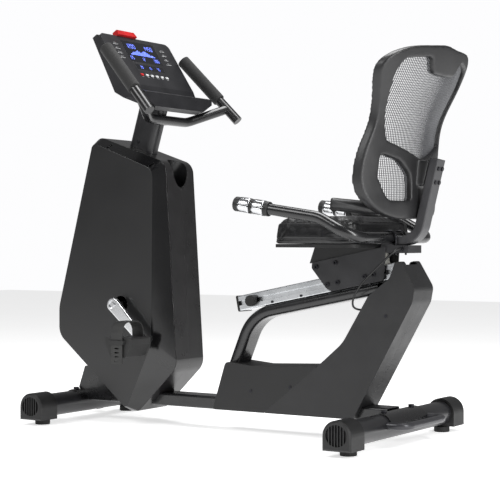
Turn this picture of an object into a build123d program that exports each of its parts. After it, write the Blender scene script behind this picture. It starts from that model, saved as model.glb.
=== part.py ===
from build123d import *
from math import cos, pi, radians, sin, sqrt, tan
import os

# Recumbent exercise bike.  Millimetres, +Z up, +X towards the seat, the rider's left is -Y.
# The origin is on the floor, under the middle of the machine.

# ---------------------------------------------------------------- overall layout
wheelbase = 1161.0              # front stabiliser axis to rear stabiliser axis
front_x = -621.3                # front stabiliser axis
rear_x = front_x + wheelbase
weld_gap = 0.2                  # between curved faces that are welded or seated in one body
thin_gap = 0.4                  # between covers and what they wrap

# ---------------------------------------------------------------- stabilisers and feet
tube_r = 36.0
tube_wall = 2.5
tube_clear = 22.0               # under the stabiliser tubes
tube_z = tube_r + tube_clear
front_half = 283.0
rear_half = 370.0
cap_length = 80.0
cap_wall = 9.0
cap_r = tube_r + cap_wall
cap_base_z = 18.0
cap_end = 12.0
rib_pitch = 9.0
foot_r = 24.0
foot_height = 17.0
front_foot_y = 222.0
rear_foot_y = 300.0
stud_r = 5.0
running_fit = 0.06
foot_nut = 20.0
wheel_r = 30.0
wheel_width = 24.0
wheel_out = 66.0                # wheel axle ahead of the front tube
wheel_z = 38.0
wheel_y = 150.0
fork_plate = 4.0
fork_gap = 2.0

# ---------------------------------------------------------------- main beam
beam_width = 80.0
beam_height = 40.0
beam_wall = 3.0
beam_rise = 25.0                # beam's axis above the tubes' axes
beam_z = tube_z + beam_rise
beam_start = 15.0
saddle_plate = 4.0
saddle_drop = 8.0               # lowest edge of the saddle above the tube's axis
front_saddle_half = 68.0
rear_saddle_half = 115.0
front_bolt_y = 52.0
rear_bolt_y = 88.0
bolt_r = 5.0
bolt_head_r = 9.0
bolt_head = 6.0
bolt_length = 24.0

# ---------------------------------------------------------------- lift handle
handle_r = 11.0
handle_half = 130.0
handle_out = 92.0
handle_z = 66.0
handle_bend = 34.0

# ---------------------------------------------------------------- drive
crank_x = 226.0
crank_z = 386.0
crank_arm_length = 157.0
crank_drop = 43.5               # degrees below level, at rest
post_x = 205.0
post_depth = 80.0
post_width = 50.0
post_wall = 3.0
post_top = 800.0
shell_r = 25.0
shell_half = 34.0
bearing_width = 12.0
bearing_r = 21.0
axle_r = 10.0
axle_half = 150.0
belt_y = 46.0
belt_width = 12.0
belt_thick = 3.0
pulley_r = 138.0
pinion_r = 18.0
flywheel_x = 185.0
flywheel_z = 640.0
flywheel_r = 112.0
flywheel_y = -47.0
flywheel_width = 20.0
spindle_r = 8.0
brake_gap = 3.0

# ---------------------------------------------------------------- shroud
rim_half = 75.0
panel_half = 105.0
shroud_wall = 3.0
crank_hole_r = 27.0
pocket_r = 41.0
pocket_depth = 92.0
pocket_lean = 30.0

# ---------------------------------------------------------------- mast, handlebar
mast_x = 240.0
mast_z = 885.0
mast_lean = 16.8
mast_depth = 100.0
mast_width = 50.0
mast_wall = 3.0
mast_below = 95.0
mast_above = 165.0
socket_wall = 3.0
socket_length = 60.0
bar_r = 15.0                    # cross tube
hand_r = 16.0                   # hand bars
bar_wall = 3.0
bar_x = 336.0
bar_z = 975.0
bar_straight = 105.0
grip_foam = 5.0
grip_r = hand_r + grip_foam
grip_top = (252.0, 210.0, 1190.0)
grip_low = (445.0, 246.0, 985.0)
grip_share = 0.68               # of the hand bar covered by foam
tee_share = 0.80                # where the cross tube meets the hand bar

# ---------------------------------------------------------------- console
console_x = 308.0
console_z = 1083.0
console_tilt = 33.0             # face back from upright
console_width = 370.0
console_height = 196.0
face_plate = 6.0
housing_deep = 52.0
housing_thin = 30.0
housing_wall = 3.0
display_width = 176.0
display_height = 84.0
display_low = 96.0
strip_width = 150.0
strip_height = 20.0
strip_low = 66.0
tray_low_z = 998.0
tray_end_z = 1036.0
tray_flat_half = 110.0
window_plate = 3.0
key_width = 14.0
key_height = 8.0
key_pitch = 27.0
key_row = 44.0
key_gap = 0.4
key_proud = 1.6
clip_width = 100.0
clip_y = -42.0
clip_height = 20.0
stem_width = 60.0
stem_thick = 3.0
stem_length = 96.0

# ---------------------------------------------------------------- seat rail and its support
rail_slope = 11.4
rail_front = -534.0             # from the rear stabiliser axis
rail_front_z = 418.0
rail_length = 548.0
rail_width = 70.0
rail_height = 46.0
rail_wall = 4.0
groove_height = 14.0
groove_depth = 9.0
groove_centre = -23.0
support_thick = 36.0
support_width = 85.0
support_wall = 3.0
support_bend = 130.0
post_rear_depth = 60.0
post_rear_width = 70.0
bumper_r = 17.0
bumper_at = 50.0

# ---------------------------------------------------------------- base and tower covers
cover_half = 62.0
cover_wall = 3.0
cover_base_z = 66.0

# ---------------------------------------------------------------- seat carriage
plate_clear = 7.0               # side plates from the rail
plate_inner = rail_width / 2 + plate_clear
plate_thick = 5.0
glide_clear = 0.5
carriage_top = 50.0             # top edge of the plates above the rail
bridge_thick = 5.0
bracket_x = -34.0                # seat group: all distances from the rear stabiliser axis
seat_tube_x = -11.0
seat_tube_z = 598.0
seat_tube_r = 16.5
bracket_base = 554.0
bracket_rear = 55.0
cushion_front = -349.0
cushion_rear = -36.0
cushion_half = 205.0
cushion_base = 580.0
cushion_top = 664.0
pan_thick = 10.0
arm_y = 250.0
arm_tip_x = -396.0
arm_tip_z = 697.0
arm_knee_x = -121.0
arm_knee_z = 656.0
pulse_cover = 5.0
pulse_r = seat_tube_r + pulse_cover
pulse_length = 118.0

# ---------------------------------------------------------------- backrest
upright_depth = 28.0
upright_width = 50.0
upright_wall = 3.0
foot_step = 5.0                 # bracket top under the upright's foot, below the seat tube's underside
upright_knee_x = 69.0
upright_top = (127.0, 824.0)
upright_bend = 60.0
wrap_axis = -361.0              # upright axis that the back curves round
back_thick = 26.0
back_rim = 30.0
mesh_thick = 3.0
block_low = 748.0
block_top = 822.0
roll_r = 19.0
roll_half = 222.0
roll_z = 680.0
roll_tip_rise = 14.0
roll_middle_x = 14.0
roll_tip_x = -101.0
lug_y = 64.0
lug_length = 44.0
lug_size = 16.0

# ---------------------------------------------------------------- fittings and sensor cable
seat_bolt_r = 4.0
seat_bolt_places = [(300, 35), (366, 35), (327, -23), (362, -23), (454, -23), (484, -23)]
hoop_wire = 3.0
hoop_gap = 1.0
hoop_r = seat_tube_r + hoop_wire + hoop_gap
cable_r = 3.0
gland_r = 6.0


def side(x, y=0.0):
    """Upright plane: local x runs to the rear, local y up, and extruding goes to the rider's left."""
    return Plane(origin=(x, y, 0), x_dir=(1, 0, 0), z_dir=(0, -1, 0))


def finish(part, name):
    """Label a finished piece and write it."""
    part.label = name
    export_step(part, f"parts/{name}.step")


def mirrored(part, name):
    """Write the right-hand twin of a left-hand piece."""
    with BuildPart() as twin:
        mirror(part, about=Plane.XZ)
    finish(twin.part, name)
    return twin.part


def tube_along(path, radius, wall):
    """Round tube whose centre line is the given line."""
    with BuildPart(mode=Mode.PRIVATE) as tube:
        with BuildSketch(Plane(origin=path @ 0, z_dir=path % 0)):
            Circle(radius)
            if wall:
                Circle(radius - wall, mode=Mode.SUBTRACT)
        sweep(path=path)
    return tube.part


os.makedirs("parts", exist_ok=True)

# ================================================================ stabilisers
foot_places = [(front_x, front_foot_y), (front_x, -front_foot_y), (rear_x, rear_foot_y), (rear_x, -rear_foot_y)]
foot_names = ["front_right", "front_left", "rear_right", "rear_left"]
saddle_r = tube_r + weld_gap
saddle_out = saddle_r + saddle_plate
nut_low = tube_z - tube_r + 1.0
nut_high = nut_low + 13.0


def stabiliser(x, half, foot_y, bolt_y, forks):
    """Cross tube with its welded foot nuts, bolt holes and, at the front, the wheel forks."""
    with BuildPart() as cross_tube:
        with BuildSketch(side(x)):
            with Locations((0, tube_z)):
                Circle(tube_r)
        extrude(amount=half - cap_end, both=True)
        if forks:
            for centre in (wheel_y, -wheel_y):
                for offset in (-1, 1):
                    inner = offset * (wheel_width / 2 + fork_gap)
                    with BuildSketch(side(x, centre + inner)):
                        with Locations((-wheel_out, wheel_z)):
                            Circle(13)
                        with Locations((-20, tube_z)):
                            Circle(15)
                        make_hull()
                        with Locations((-wheel_out, wheel_z)):
                            Circle(stud_r + thin_gap, mode=Mode.SUBTRACT)
                    extrude(amount=-offset * fork_plate)
        with BuildSketch(side(x)):
            with Locations((0, tube_z)):
                Circle(tube_r - tube_wall)
        extrude(amount=half, both=True, mode=Mode.SUBTRACT)
        for y in (foot_y, -foot_y):
            with Locations((x, y, (nut_low + nut_high) / 2)):
                Box(foot_nut, foot_nut, nut_high - nut_low)
            with Locations((x, y, nut_low)):
                Cylinder(stud_r + running_fit, 40, mode=Mode.SUBTRACT)
        for y in (bolt_y, -bolt_y):
            with Locations((x, y, tube_z + tube_r)):
                Cylinder(bolt_r + weld_gap, 20, mode=Mode.SUBTRACT)
    return cross_tube.part


front_stabiliser = stabiliser(front_x, front_half, front_foot_y, front_bolt_y, True)
finish(front_stabiliser, "front_stabiliser")
rear_stabiliser = stabiliser(rear_x, rear_half, rear_foot_y, rear_bolt_y, False)
finish(rear_stabiliser, "rear_stabiliser")

# D-shaped plastic end caps with a ribbed oval recess in each end
with BuildPart() as stabiliser_end_caps:
    for x, half, foot_y in ((front_x, front_half, front_foot_y), (rear_x, rear_half, rear_foot_y)):
        with BuildSketch(side(x, -half)):
            with Locations((0, tube_z)):
                Circle(cap_r)
            with Locations((0, (tube_z + cap_base_z) / 2)):
                Rectangle(2 * cap_r, tube_z - cap_base_z)
            with Locations((0, cap_base_z)):
                Rectangle(2 * cap_r, cap_r, align=(Align.CENTER, Align.MAX), mode=Mode.SUBTRACT)
        extrude(amount=-cap_length)
        chamfer(faces().filter_by(Axis.Y).sort_by(Axis.Y)[0].edges(), length=5)
    for x, half, foot_y in ((front_x, front_half, front_foot_y), (rear_x, rear_half, rear_foot_y)):
        with BuildSketch(side(x, -half)):
            with Locations((0, tube_z + 3)):
                Ellipse(33, 30)
                with GridLocations(rib_pitch, 1, 6, 1):
                    Rectangle(3, 80, mode=Mode.SUBTRACT)
        extrude(amount=-6, mode=Mode.SUBTRACT)
        with BuildSketch(side(x, -half + cap_end)):
            with Locations((0, tube_z)):
                Circle(tube_r + weld_gap)
        extrude(amount=-cap_length, mode=Mode.SUBTRACT)
        with Locations((x, -foot_y, cap_base_z)):
            Cylinder(stud_r + 1, 30, mode=Mode.SUBTRACT)
    mirror(about=Plane.XZ)
finish(stabiliser_end_caps.part, "stabiliser_end_caps")

# Levelling feet: a moulded pad on a threaded stud
for (x, y), place in zip(foot_places, foot_names):
    with BuildPart() as levelling_foot:
        with Locations((x, y, foot_height / 2)):
            Cylinder(foot_r, foot_height)
        chamfer(levelling_foot.edges().filter_by(GeomType.CIRCLE), length=1.5)
        with Locations((x, y, foot_height)):
            Cylinder(stud_r, nut_high - foot_height + 4, align=(Align.CENTER, Align.CENTER, Align.MIN))
    finish(levelling_foot.part, f"levelling_foot_{place}")

# Transport wheels in the forks of the front tube
for y, place in ((wheel_y, "right"), (-wheel_y, "left")):
    with BuildPart() as transport_wheel:
        with BuildSketch(side(front_x, y)):
            with Locations((-wheel_out, wheel_z)):
                Circle(wheel_r)
                Circle(stud_r + running_fit, mode=Mode.SUBTRACT)
        extrude(amount=wheel_width / 2, both=True)
        chamfer(transport_wheel.edges().filter_by(GeomType.CIRCLE).group_by(SortBy.LENGTH)[-1], length=2.5)
    finish(transport_wheel.part, f"transport_wheel_{place}")

# ================================================================ main beam with its two saddles
with BuildPart() as main_beam:
    with BuildSketch(Plane(origin=(front_x + beam_start, 0, 0), x_dir=(0, 1, 0), z_dir=(1, 0, 0))):
        with Locations((0, beam_z)):
            RectangleRounded(beam_width, beam_height, 7)
            RectangleRounded(beam_width - 2 * beam_wall, beam_height - 2 * beam_wall, 4, mode=Mode.SUBTRACT)
    extrude(amount=wheelbase - 2 * beam_start)
    for x, half in ((front_x, front_saddle_half), (rear_x, rear_saddle_half)):
        with BuildSketch(side(x)):
            with Locations((0, tube_z)):
                Circle(saddle_out)
            with Locations((0, tube_z + saddle_drop)):
                Rectangle(4 * tube_r, 4 * tube_r, align=(Align.CENTER, Align.MAX), mode=Mode.SUBTRACT)
        extrude(amount=half, both=True)
    for x, bolt_y in ((front_x, front_bolt_y), (rear_x, rear_bolt_y)):
        with BuildSketch(side(x)):
            with Locations((0, tube_z)):
                Circle(saddle_r)
        extrude(amount=rear_half, both=True, mode=Mode.SUBTRACT)
        for y in (bolt_y, -bolt_y):
            with Locations((x, y, tube_z + saddle_out)):
                Cylinder(bolt_r + weld_gap, 20, mode=Mode.SUBTRACT)
finish(main_beam.part, "main_beam")

# Lift handle: a bent rod welded to the back of the rear tube
with BuildLine() as handle_line:
    FilletPolyline(
        (rear_x + tube_r - 2, -handle_half, handle_z),
        (rear_x + handle_out, -handle_half, handle_z),
        (rear_x + handle_out, handle_half, handle_z),
        (rear_x + tube_r - 2, handle_half, handle_z),
        radius=handle_bend,
    )
with BuildPart() as lift_handle:
    add(tube_along(handle_line.wires()[0], handle_r, 0))
    with BuildSketch(side(rear_x)):
        with Locations((0, tube_z)):
            Circle(tube_r + weld_gap)
    extrude(amount=2 * handle_half, both=True, mode=Mode.SUBTRACT)
finish(lift_handle.part, "lift_handle")

# ================================================================ drive frame inside the shroud
mast_plane = Plane(
    origin=(front_x + mast_x, 0, mast_z),
    x_dir=(cos(radians(mast_lean)), 0, -sin(radians(mast_lean))),
    z_dir=(sin(radians(mast_lean)), 0, cos(radians(mast_lean))),
)
socket_low = mast_plane.offset(-mast_below - 8)


def mast_bar(plane, grow, length):
    """Solid flat-oval bar on the mast's line, larger than the mast by grow all round."""
    with BuildPart(mode=Mode.PRIVATE) as bar:
        with BuildSketch(plane):
            SlotOverall(mast_depth + 2 * grow, mast_width + 2 * grow)
        extrude(amount=length)
    return bar.part


beam_top = beam_z + beam_height / 2
with BuildPart() as drive_frame:
    with BuildSketch(Plane.XY.offset(beam_top)):
        with Locations((front_x + post_x, 0)):
            Rectangle(post_depth, post_width)
    extrude(amount=post_top - beam_top)
    add(mast_bar(socket_low, socket_wall, 8 + socket_length))
    with BuildSketch(side(front_x)):
        with Locations((crank_x, crank_z)):
            Circle(shell_r)
        with Locations((flywheel_x, flywheel_z)):
            Circle(shell_r - 5)
    extrude(amount=shell_half, both=True)
    with BuildSketch(Plane.XY.offset(beam_top + 4)):
        with Locations((front_x + post_x, 0)):
            Rectangle(post_depth - 2 * post_wall, post_width - 2 * post_wall)
    extrude(amount=post_top - beam_top - 8, mode=Mode.SUBTRACT)
    add(mast_bar(socket_low.offset(8), weld_gap, 2 * socket_length), mode=Mode.SUBTRACT)
    # both cross shells again, so that they run through the hollow post, then their bores
    with BuildSketch(side(front_x)):
        with Locations((crank_x, crank_z)):
            Circle(shell_r)
        with Locations((flywheel_x, flywheel_z)):
            Circle(shell_r - 5)
    extrude(amount=shell_half, both=True)
    with BuildSketch(side(front_x)):
        with Locations((crank_x, crank_z)):
            Circle(bearing_r)
        with Locations((flywheel_x, flywheel_z)):
            Circle(spindle_r + running_fit)
    extrude(amount=shell_half, both=True, mode=Mode.SUBTRACT)
    # front foot plates from the beam to the front saddle
    for y in (beam_width / 2, -beam_width / 2 - 3):
        with BuildSketch(side(front_x, y)):
            with BuildLine():
                FilletPolyline((30, 176), (4, 104), (44, 66), (140, 66), (160, 110), (160, 176), radius=6, close=True)
            make_face()
            with Locations((0, tube_z)):
                Circle(saddle_out + weld_gap, mode=Mode.SUBTRACT)
        extrude(amount=-3)
finish(drive_frame.part, "drive_frame")

# Crank bearings, one in each end of the crank shell
with BuildPart() as crank_bearings:
    for y in (-shell_half, shell_half - bearing_width):
        with BuildSketch(side(front_x, y)):
            with Locations((crank_x, crank_z)):
                Circle(bearing_r)
                Circle(axle_r + running_fit, mode=Mode.SUBTRACT)
        extrude(amount=-bearing_width)
finish(crank_bearings.part, "crank_bearings")

# Crank axle with the flange that carries the pulley
with BuildPart() as crank_axle:
    with BuildSketch(side(front_x)):
        with Locations((crank_x, crank_z)):
            Circle(axle_r)
    extrude(amount=axle_half - 12, both=True)
    with BuildSketch(side(front_x, shell_half + 1)):
        with Locations((crank_x, crank_z)):
            Circle(24)
    extrude(amount=-(belt_y - belt_width / 2 - shell_half - 2))
finish(crank_axle.part, "crank_axle")

# Large driven pulley: rim, web with five windows, hub
with BuildPart() as drive_pulley:
    with BuildSketch(side(front_x, belt_y)):
        with Locations((crank_x, crank_z)):
            Circle(pulley_r)
            Circle(axle_r + weld_gap, mode=Mode.SUBTRACT)
            with PolarLocations(80, 5):
                Circle(34, mode=Mode.SUBTRACT)
    extrude(amount=belt_width / 2 - 1, both=True)
finish(drive_pulley.part, "drive_pulley")

# Flywheel on its spindle, with the small pulley on the other end
with BuildPart() as flywheel:
    with BuildSketch(side(front_x, flywheel_y)):
        with Locations((flywheel_x, flywheel_z)):
            Circle(flywheel_r)
    extrude(amount=flywheel_width / 2, both=True)
    for y in (flywheel_y - flywheel_width / 2, flywheel_y + flywheel_width / 2 - 5):
        with BuildSketch(side(front_x, y)):
            with Locations((flywheel_x, flywheel_z)):
                Circle(flywheel_r - 24)
                Circle(30, mode=Mode.SUBTRACT)
        extrude(amount=-5, mode=Mode.SUBTRACT)
    with BuildSketch(side(front_x, flywheel_y)):
        with Locations((flywheel_x, flywheel_z)):
            Circle(spindle_r)
    extrude(amount=-(belt_y - flywheel_y + belt_width / 2 + 4))
    with BuildSketch(side(front_x, belt_y)):
        with Locations((flywheel_x, flywheel_z)):
            Circle(pinion_r)
    extrude(amount=belt_width / 2, both=True)
finish(flywheel.part, "flywheel")


def belt_loop(grow):
    """Outline round both pulleys, larger than them by grow."""
    with BuildSketch(side(front_x, belt_y), mode=Mode.PRIVATE) as loop:
        with Locations((crank_x, crank_z)):
            Circle(pulley_r + grow)
        with Locations((flywheel_x, flywheel_z)):
            Circle(pinion_r + grow)
        make_hull()
    return loop.sketch


# Poly-V belt, just clear of the pulleys that it wraps
with BuildPart() as drive_belt:
    extrude(belt_loop(0.35 + belt_thick), amount=belt_width / 2 - 1.5, both=True)
    extrude(belt_loop(0.35), amount=belt_width, both=True, mode=Mode.SUBTRACT)
finish(drive_belt.part, "drive_belt")

# Magnet brake: a forked block that straddles the flywheel's rim, fixed to the post
brake_low = flywheel_z + flywheel_r - 26
with BuildPart() as magnet_brake:
    with BuildSketch(Plane.XY.offset(brake_low)):
        with Locations((front_x + flywheel_x, (-post_width / 2 - 73) / 2)):
            Rectangle(54, 73 - post_width / 2)
    extrude(amount=44)
    with Locations((front_x + flywheel_x, flywheel_y, brake_low)):
        Box(60, flywheel_width + 2 * brake_gap, 2 * 26 + 2 * brake_gap, mode=Mode.SUBTRACT)
finish(magnet_brake.part, "magnet_brake")

# ================================================================ shroud
rim_points = [(108, 930), (382, 836), (424, 190), (276, 44), (244, 44), (-16, 268), (-16, 372)]
rim_radii = [26, 45, 52, 16, 16, 60, 90]
panel_points = [(112, 906), (352, 814), (346, 262), (252, 60), (238, 60), (-28, 282), (-28, 372)]
panel_radii = [16, 38, 60, 10, 10, 55, 90]


def outline(points, radii, plane, inset=0.0):
    """Rounded closed outline in a plane, drawn in by inset."""
    with BuildSketch(plane, mode=Mode.PRIVATE) as shape:
        with BuildLine():
            FilletPolyline(points, radius=radii, close=True)
        make_face()
        if inset:
            offset(amount=-inset)
    return shape.sketch


pocket_axis = Plane(
    origin=(front_x + 378, 0, 826),
    x_dir=(cos(radians(pocket_lean)), 0, -sin(radians(pocket_lean))),
    z_dir=(sin(radians(pocket_lean)), 0, cos(radians(pocket_lean))),
)
pocket_wall = 2.5

# Bottle pocket: a leaning cup whose mouth is trimmed flush with the rim
with BuildPart() as bottle_pocket:
    with BuildSketch(pocket_axis.offset(-pocket_depth - pocket_wall)):
        Circle(pocket_r + pocket_wall)
    extrude(amount=pocket_depth + 60)
    with BuildSketch(pocket_axis.offset(-pocket_depth)):
        Circle(pocket_r)
    extrude(amount=pocket_depth + 60, mode=Mode.SUBTRACT)
    extrude(outline(rim_points, rim_radii, side(front_x)), amount=rim_half, both=True, mode=Mode.INTERSECT)
finish(bottle_pocket.part, "bottle_pocket")


def shroud_openings():
    """Everything that passes through the shroud's rim, with its clearance."""
    with BuildPart(mode=Mode.PRIVATE) as openings:
        with Locations((front_x + 200, 0, beam_z)):
            Box(560, beam_width + 2 * thin_gap, beam_height + 2 * thin_gap)
        with BuildSketch(side(front_x)):
            with Locations((92, 121)):
                Rectangle(180, 112)
        extrude(amount=beam_width / 2 + 3 + thin_gap, both=True)
        add(mast_bar(mast_plane.offset(-60), 1.0, 120))
        with BuildSketch(pocket_axis.offset(-pocket_depth - pocket_wall - thin_gap)):
            Circle(pocket_r + pocket_wall + thin_gap)
        extrude(amount=pocket_depth + 80)
    return openings.part


# Left half of the rim, split down the middle of the machine
with BuildPart() as shroud_left:
    extrude(outline(rim_points, rim_radii, side(front_x, -0.15)), amount=rim_half - 0.15)
    extrude(outline(rim_points, rim_radii, side(front_x), shroud_wall), amount=rim_half, mode=Mode.SUBTRACT)
    add(shroud_openings(), mode=Mode.SUBTRACT)
finish(shroud_left.part, "shroud_left")
mirrored(shroud_left.part, "shroud_right")

# Left side panel: flat face, bevelled edge, crank hole and two sunk screw slots
with BuildPart() as side_panel_left:
    loft([
        outline(rim_points, rim_radii, side(front_x, -rim_half)).face(),
        outline(panel_points, panel_radii, side(front_x, -panel_half)).face(),
    ])
    loft([
        outline(rim_points, rim_radii, side(front_x, -rim_half), shroud_wall).face(),
        outline(panel_points, panel_radii, side(front_x, -panel_half + shroud_wall), shroud_wall).face(),
    ], mode=Mode.SUBTRACT)
    with BuildSketch(side(front_x, -panel_half)):
        with Locations((crank_x, crank_z)):
            Circle(crank_hole_r)
    extrude(amount=-20, mode=Mode.SUBTRACT)
    with BuildSketch(side(front_x, -panel_half)):
        with Locations(Location((172, 893), 45), Location((340, 829), 45)):
            SlotOverall(15, 5)
    extrude(amount=-40, mode=Mode.SUBTRACT)
finish(side_panel_left.part, "side_panel_left")
mirrored(side_panel_left.part, "side_panel_right")

# ================================================================ console outlines
tilt_sin = sin(radians(console_tilt))
tilt_cos = cos(radians(console_tilt))
console_plane = Plane(
    origin=(front_x + console_x, 0, console_z), x_dir=(0, 1, 0), z_dir=(tilt_cos, 0, tilt_sin),
)


def console_point(up, back):
    """Point on the console's side view: up along the face, back behind it, from the front axis."""
    return (console_x - up * tilt_sin - back * tilt_cos, console_z + up * tilt_cos - back * tilt_sin)


housing_outline = [
    console_point(0, face_plate),
    console_point(console_height, face_plate),
    console_point(console_height, housing_thin),
    console_point(0, housing_deep),
]
tray_outline = [
    console_point(0, 0),
    console_point(0, housing_deep),
    (366, 1000),
    (384, 1010),
    (381, 1053),
    (368, 1057),
    (356, 1034),
    (322, 1050),
]



def tray_block(inset):
    """Block of the lower console: its side view, with an underside that rises towards both ends."""
    with BuildPart(mode=Mode.PRIVATE) as block:
        with BuildSketch(side(front_x)):
            with BuildLine():
                Polyline(tray_outline, close=True)
            make_face()
            if inset:
                offset(amount=-inset, kind=Kind.INTERSECTION)
        extrude(amount=console_width / 2 - inset, both=True)
        with BuildSketch(Plane(origin=(front_x, 0, 0), x_dir=(0, 1, 0), z_dir=(1, 0, 0))):
            with BuildLine():
                Polyline(
                    (-console_width / 2, tray_end_z + inset), (-tray_flat_half, tray_low_z + inset),
                    (tray_flat_half, tray_low_z + inset), (console_width / 2, tray_end_z + inset),
                    (console_width / 2, console_z + 20), (-console_width / 2, console_z + 20), close=True,
                )
            make_face()
        extrude(amount=2 * console_x, mode=Mode.INTERSECT)
    return block.part


# Console housing: back shell with a mounting floor, open towards the face
with BuildPart() as console_housing:
    with BuildSketch(side(front_x)):
        with BuildLine():
            Polyline(housing_outline, close=True)
        make_face()
    extrude(amount=console_width / 2, both=True)
    fillet(console_housing.edges().filter_by(Axis.Y).group_by(Axis.Z)[-1], 8)
    with BuildSketch(side(front_x)):
        with BuildLine():
            Polyline(
                console_point(housing_wall, 0),
                console_point(console_height - housing_wall, 0),
                console_point(console_height - housing_wall, housing_thin - housing_wall),
                console_point(housing_wall, housing_deep - housing_wall),
                close=True,
            )
        make_face()
    extrude(amount=console_width / 2 - housing_wall, both=True, mode=Mode.SUBTRACT)
    # slot in the top wall for the clip's stem
    with BuildSketch(console_plane.offset(-face_plate - 4)):
        with Locations((clip_y, console_height - 20)):
            Rectangle(stem_width + 2, 60)
    extrude(amount=-stem_thick - 2, mode=Mode.SUBTRACT)
finish(console_housing.part, "console_housing")

# Console face with display window, strip window, key holes and the tablet ledge
with BuildPart() as console_face:
    with BuildSketch(console_plane):
        with Locations((0, console_height / 2)):
            Rectangle(console_width, console_height)
    extrude(amount=-face_plate)
    fillet(console_face.edges().filter_by(Axis((0, 0, 0), console_plane.z_dir)).group_by(Axis.Z)[-1], 20)
    add(tray_block(0))
    add(tray_block(housing_wall), mode=Mode.SUBTRACT)
    # the hollow opens downwards over the mast
    with Locations((front_x + console_x - 6, 0, console_z - 50)):
        Box(20, 20, 40, mode=Mode.SUBTRACT)
    with BuildSketch(console_plane):
        with Locations((0, display_low + display_height / 2)):
            Rectangle(display_width, display_height)
        with Locations((0, strip_low + strip_height / 2)):
            Rectangle(strip_width, strip_height)
    extrude(amount=-window_plate, mode=Mode.SUBTRACT)
    with BuildSketch(console_plane):
        with Locations((0, key_row)):
            with GridLocations(key_pitch, 1, 6, 1):
                Rectangle(key_width + 2 * key_gap, key_height + 2 * key_gap)
    extrude(amount=-face_plate - 1, mode=Mode.SUBTRACT)
finish(console_face.part, "console_face")

# Display windows, flush in the face
with BuildPart() as display_window:
    with BuildSketch(console_plane.offset(-window_plate)):
        with Locations((0, display_low + display_height / 2)):
            Rectangle(display_width, display_height)
        with Locations((0, strip_low + strip_height / 2)):
            Rectangle(strip_width, strip_height)
    extrude(amount=window_plate)
finish(display_window.part, "display_window")

# Six keys in one row
for number in range(6):
    with BuildPart() as console_key:
        with BuildSketch(console_plane.offset(-face_plate + 1.5)):
            with Locations(((number - 2.5) * key_pitch, key_row)):
                RectangleRounded(key_width, key_height, 2)
        extrude(amount=face_plate - 1.5 + key_proud)
    finish(console_key.part, f"console_key_{number + 1}")

# Spring-loaded clip for a tablet's top edge: head over the console's top, stem behind the face
with BuildPart() as tablet_clip:
    with BuildSketch(console_plane.offset(-face_plate - 5)):
        with Locations((clip_y, console_height + 1 - stem_length / 2)):
            Rectangle(stem_width, stem_length)
    extrude(amount=-stem_thick)
    with BuildSketch(console_plane.offset(8)):
        with Locations((clip_y, console_height + 1 + clip_height / 2)):
            Trapezoid(clip_width, clip_height, 72)
    extrude(amount=-8 - face_plate - 5 - stem_thick)
    fillet(tablet_clip.edges().filter_by(Axis.Y).group_by(Axis.Z)[-1], 4)
finish(tablet_clip.part, "tablet_clip")

# ================================================================ mast
console_under = [(366, 1000), console_point(0, housing_deep), console_point(60, housing_deep), (480, 1110), (480, 1000)]
with BuildPart() as mast:
    with BuildSketch(mast_plane.offset(-mast_below)):
        SlotOverall(mast_depth, mast_width)
        SlotOverall(mast_depth - 2 * mast_wall, mast_width - 2 * mast_wall, mode=Mode.SUBTRACT)
    extrude(amount=mast_below + mast_above)
    # cut off along the console's underside
    with BuildSketch(side(front_x)):
        with BuildLine():
            Polyline(console_under, close=True)
        make_face()
    extrude(amount=mast_width, both=True, mode=Mode.SUBTRACT)
finish(mast.part, "mast")

# ================================================================ handlebar
grip_run = Vector(*grip_low) - Vector(*grip_top)
tee = Vector(*grip_top) + grip_run * tee_share


def front_point(point, hand=1):
    """Place a point given from the front axis, on the right (1) or left (-1)."""
    return Vector(front_x + point[0], hand * point[1], point[2])


with BuildLine() as cross_line:
    FilletPolyline(
        front_point((tee.X, tee.Y, tee.Z), -1),
        front_point((bar_x, bar_straight, bar_z), -1),
        front_point((bar_x, bar_straight, bar_z), 1),
        front_point((tee.X, tee.Y, tee.Z), 1),
        radius=62,
    )


def hand_bar(hand, radius, end):
    """Straight bar on a hand grip's line, stopping short of both of its ends by end."""
    start = front_point(grip_top, hand)
    run = front_point(grip_low, hand) - start
    with BuildPart(mode=Mode.PRIVATE) as bar:
        with BuildSketch(Plane(origin=start + run.normalized() * end, z_dir=run)):
            Circle(radius)
        extrude(amount=run.length - 2 * end)
    return bar.part


cross_wire = cross_line.wires()[0]
with BuildPart() as bars:
    # clamp pad between the cross tube and the mast
    with Locations((front_x + bar_x - 14, 0, bar_z)):
        Box(28, 44, 26)
    add(mast_bar(mast_plane.offset(-mast_below), weld_gap, mast_below + mast_above), mode=Mode.SUBTRACT)
    add(tube_along(cross_wire, bar_r, 0))
    for hand in (-1, 1):
        add(hand_bar(hand, hand_r, 0))
with BuildPart() as handlebar:
    add(bars.part)
    for hand in (-1, 1):
        add(hand_bar(hand, hand_r - bar_wall, bar_wall), mode=Mode.SUBTRACT)
    add(tube_along(cross_wire, bar_r - bar_wall, 0), mode=Mode.SUBTRACT)
finish(handlebar.part, "handlebar")

# Foam grips over the upper part of each hand bar
with BuildPart() as handlebar_grips:
    for hand in (-1, 1):
        start = front_point(grip_top, hand)
        run = front_point(grip_low, hand) - start
        with BuildSketch(Plane(origin=start - run.normalized() * 6, z_dir=run)):
            Circle(grip_r)
        extrude(amount=run.length * grip_share)
        with BuildSketch(Plane(origin=start, z_dir=run)):
            Circle(hand_r)
        extrude(amount=run.length, mode=Mode.SUBTRACT)
    fillet(handlebar_grips.edges().filter_by(GeomType.CIRCLE).group_by(SortBy.LENGTH)[-1], 4)
finish(handlebar_grips.part, "handlebar_grips")

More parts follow.
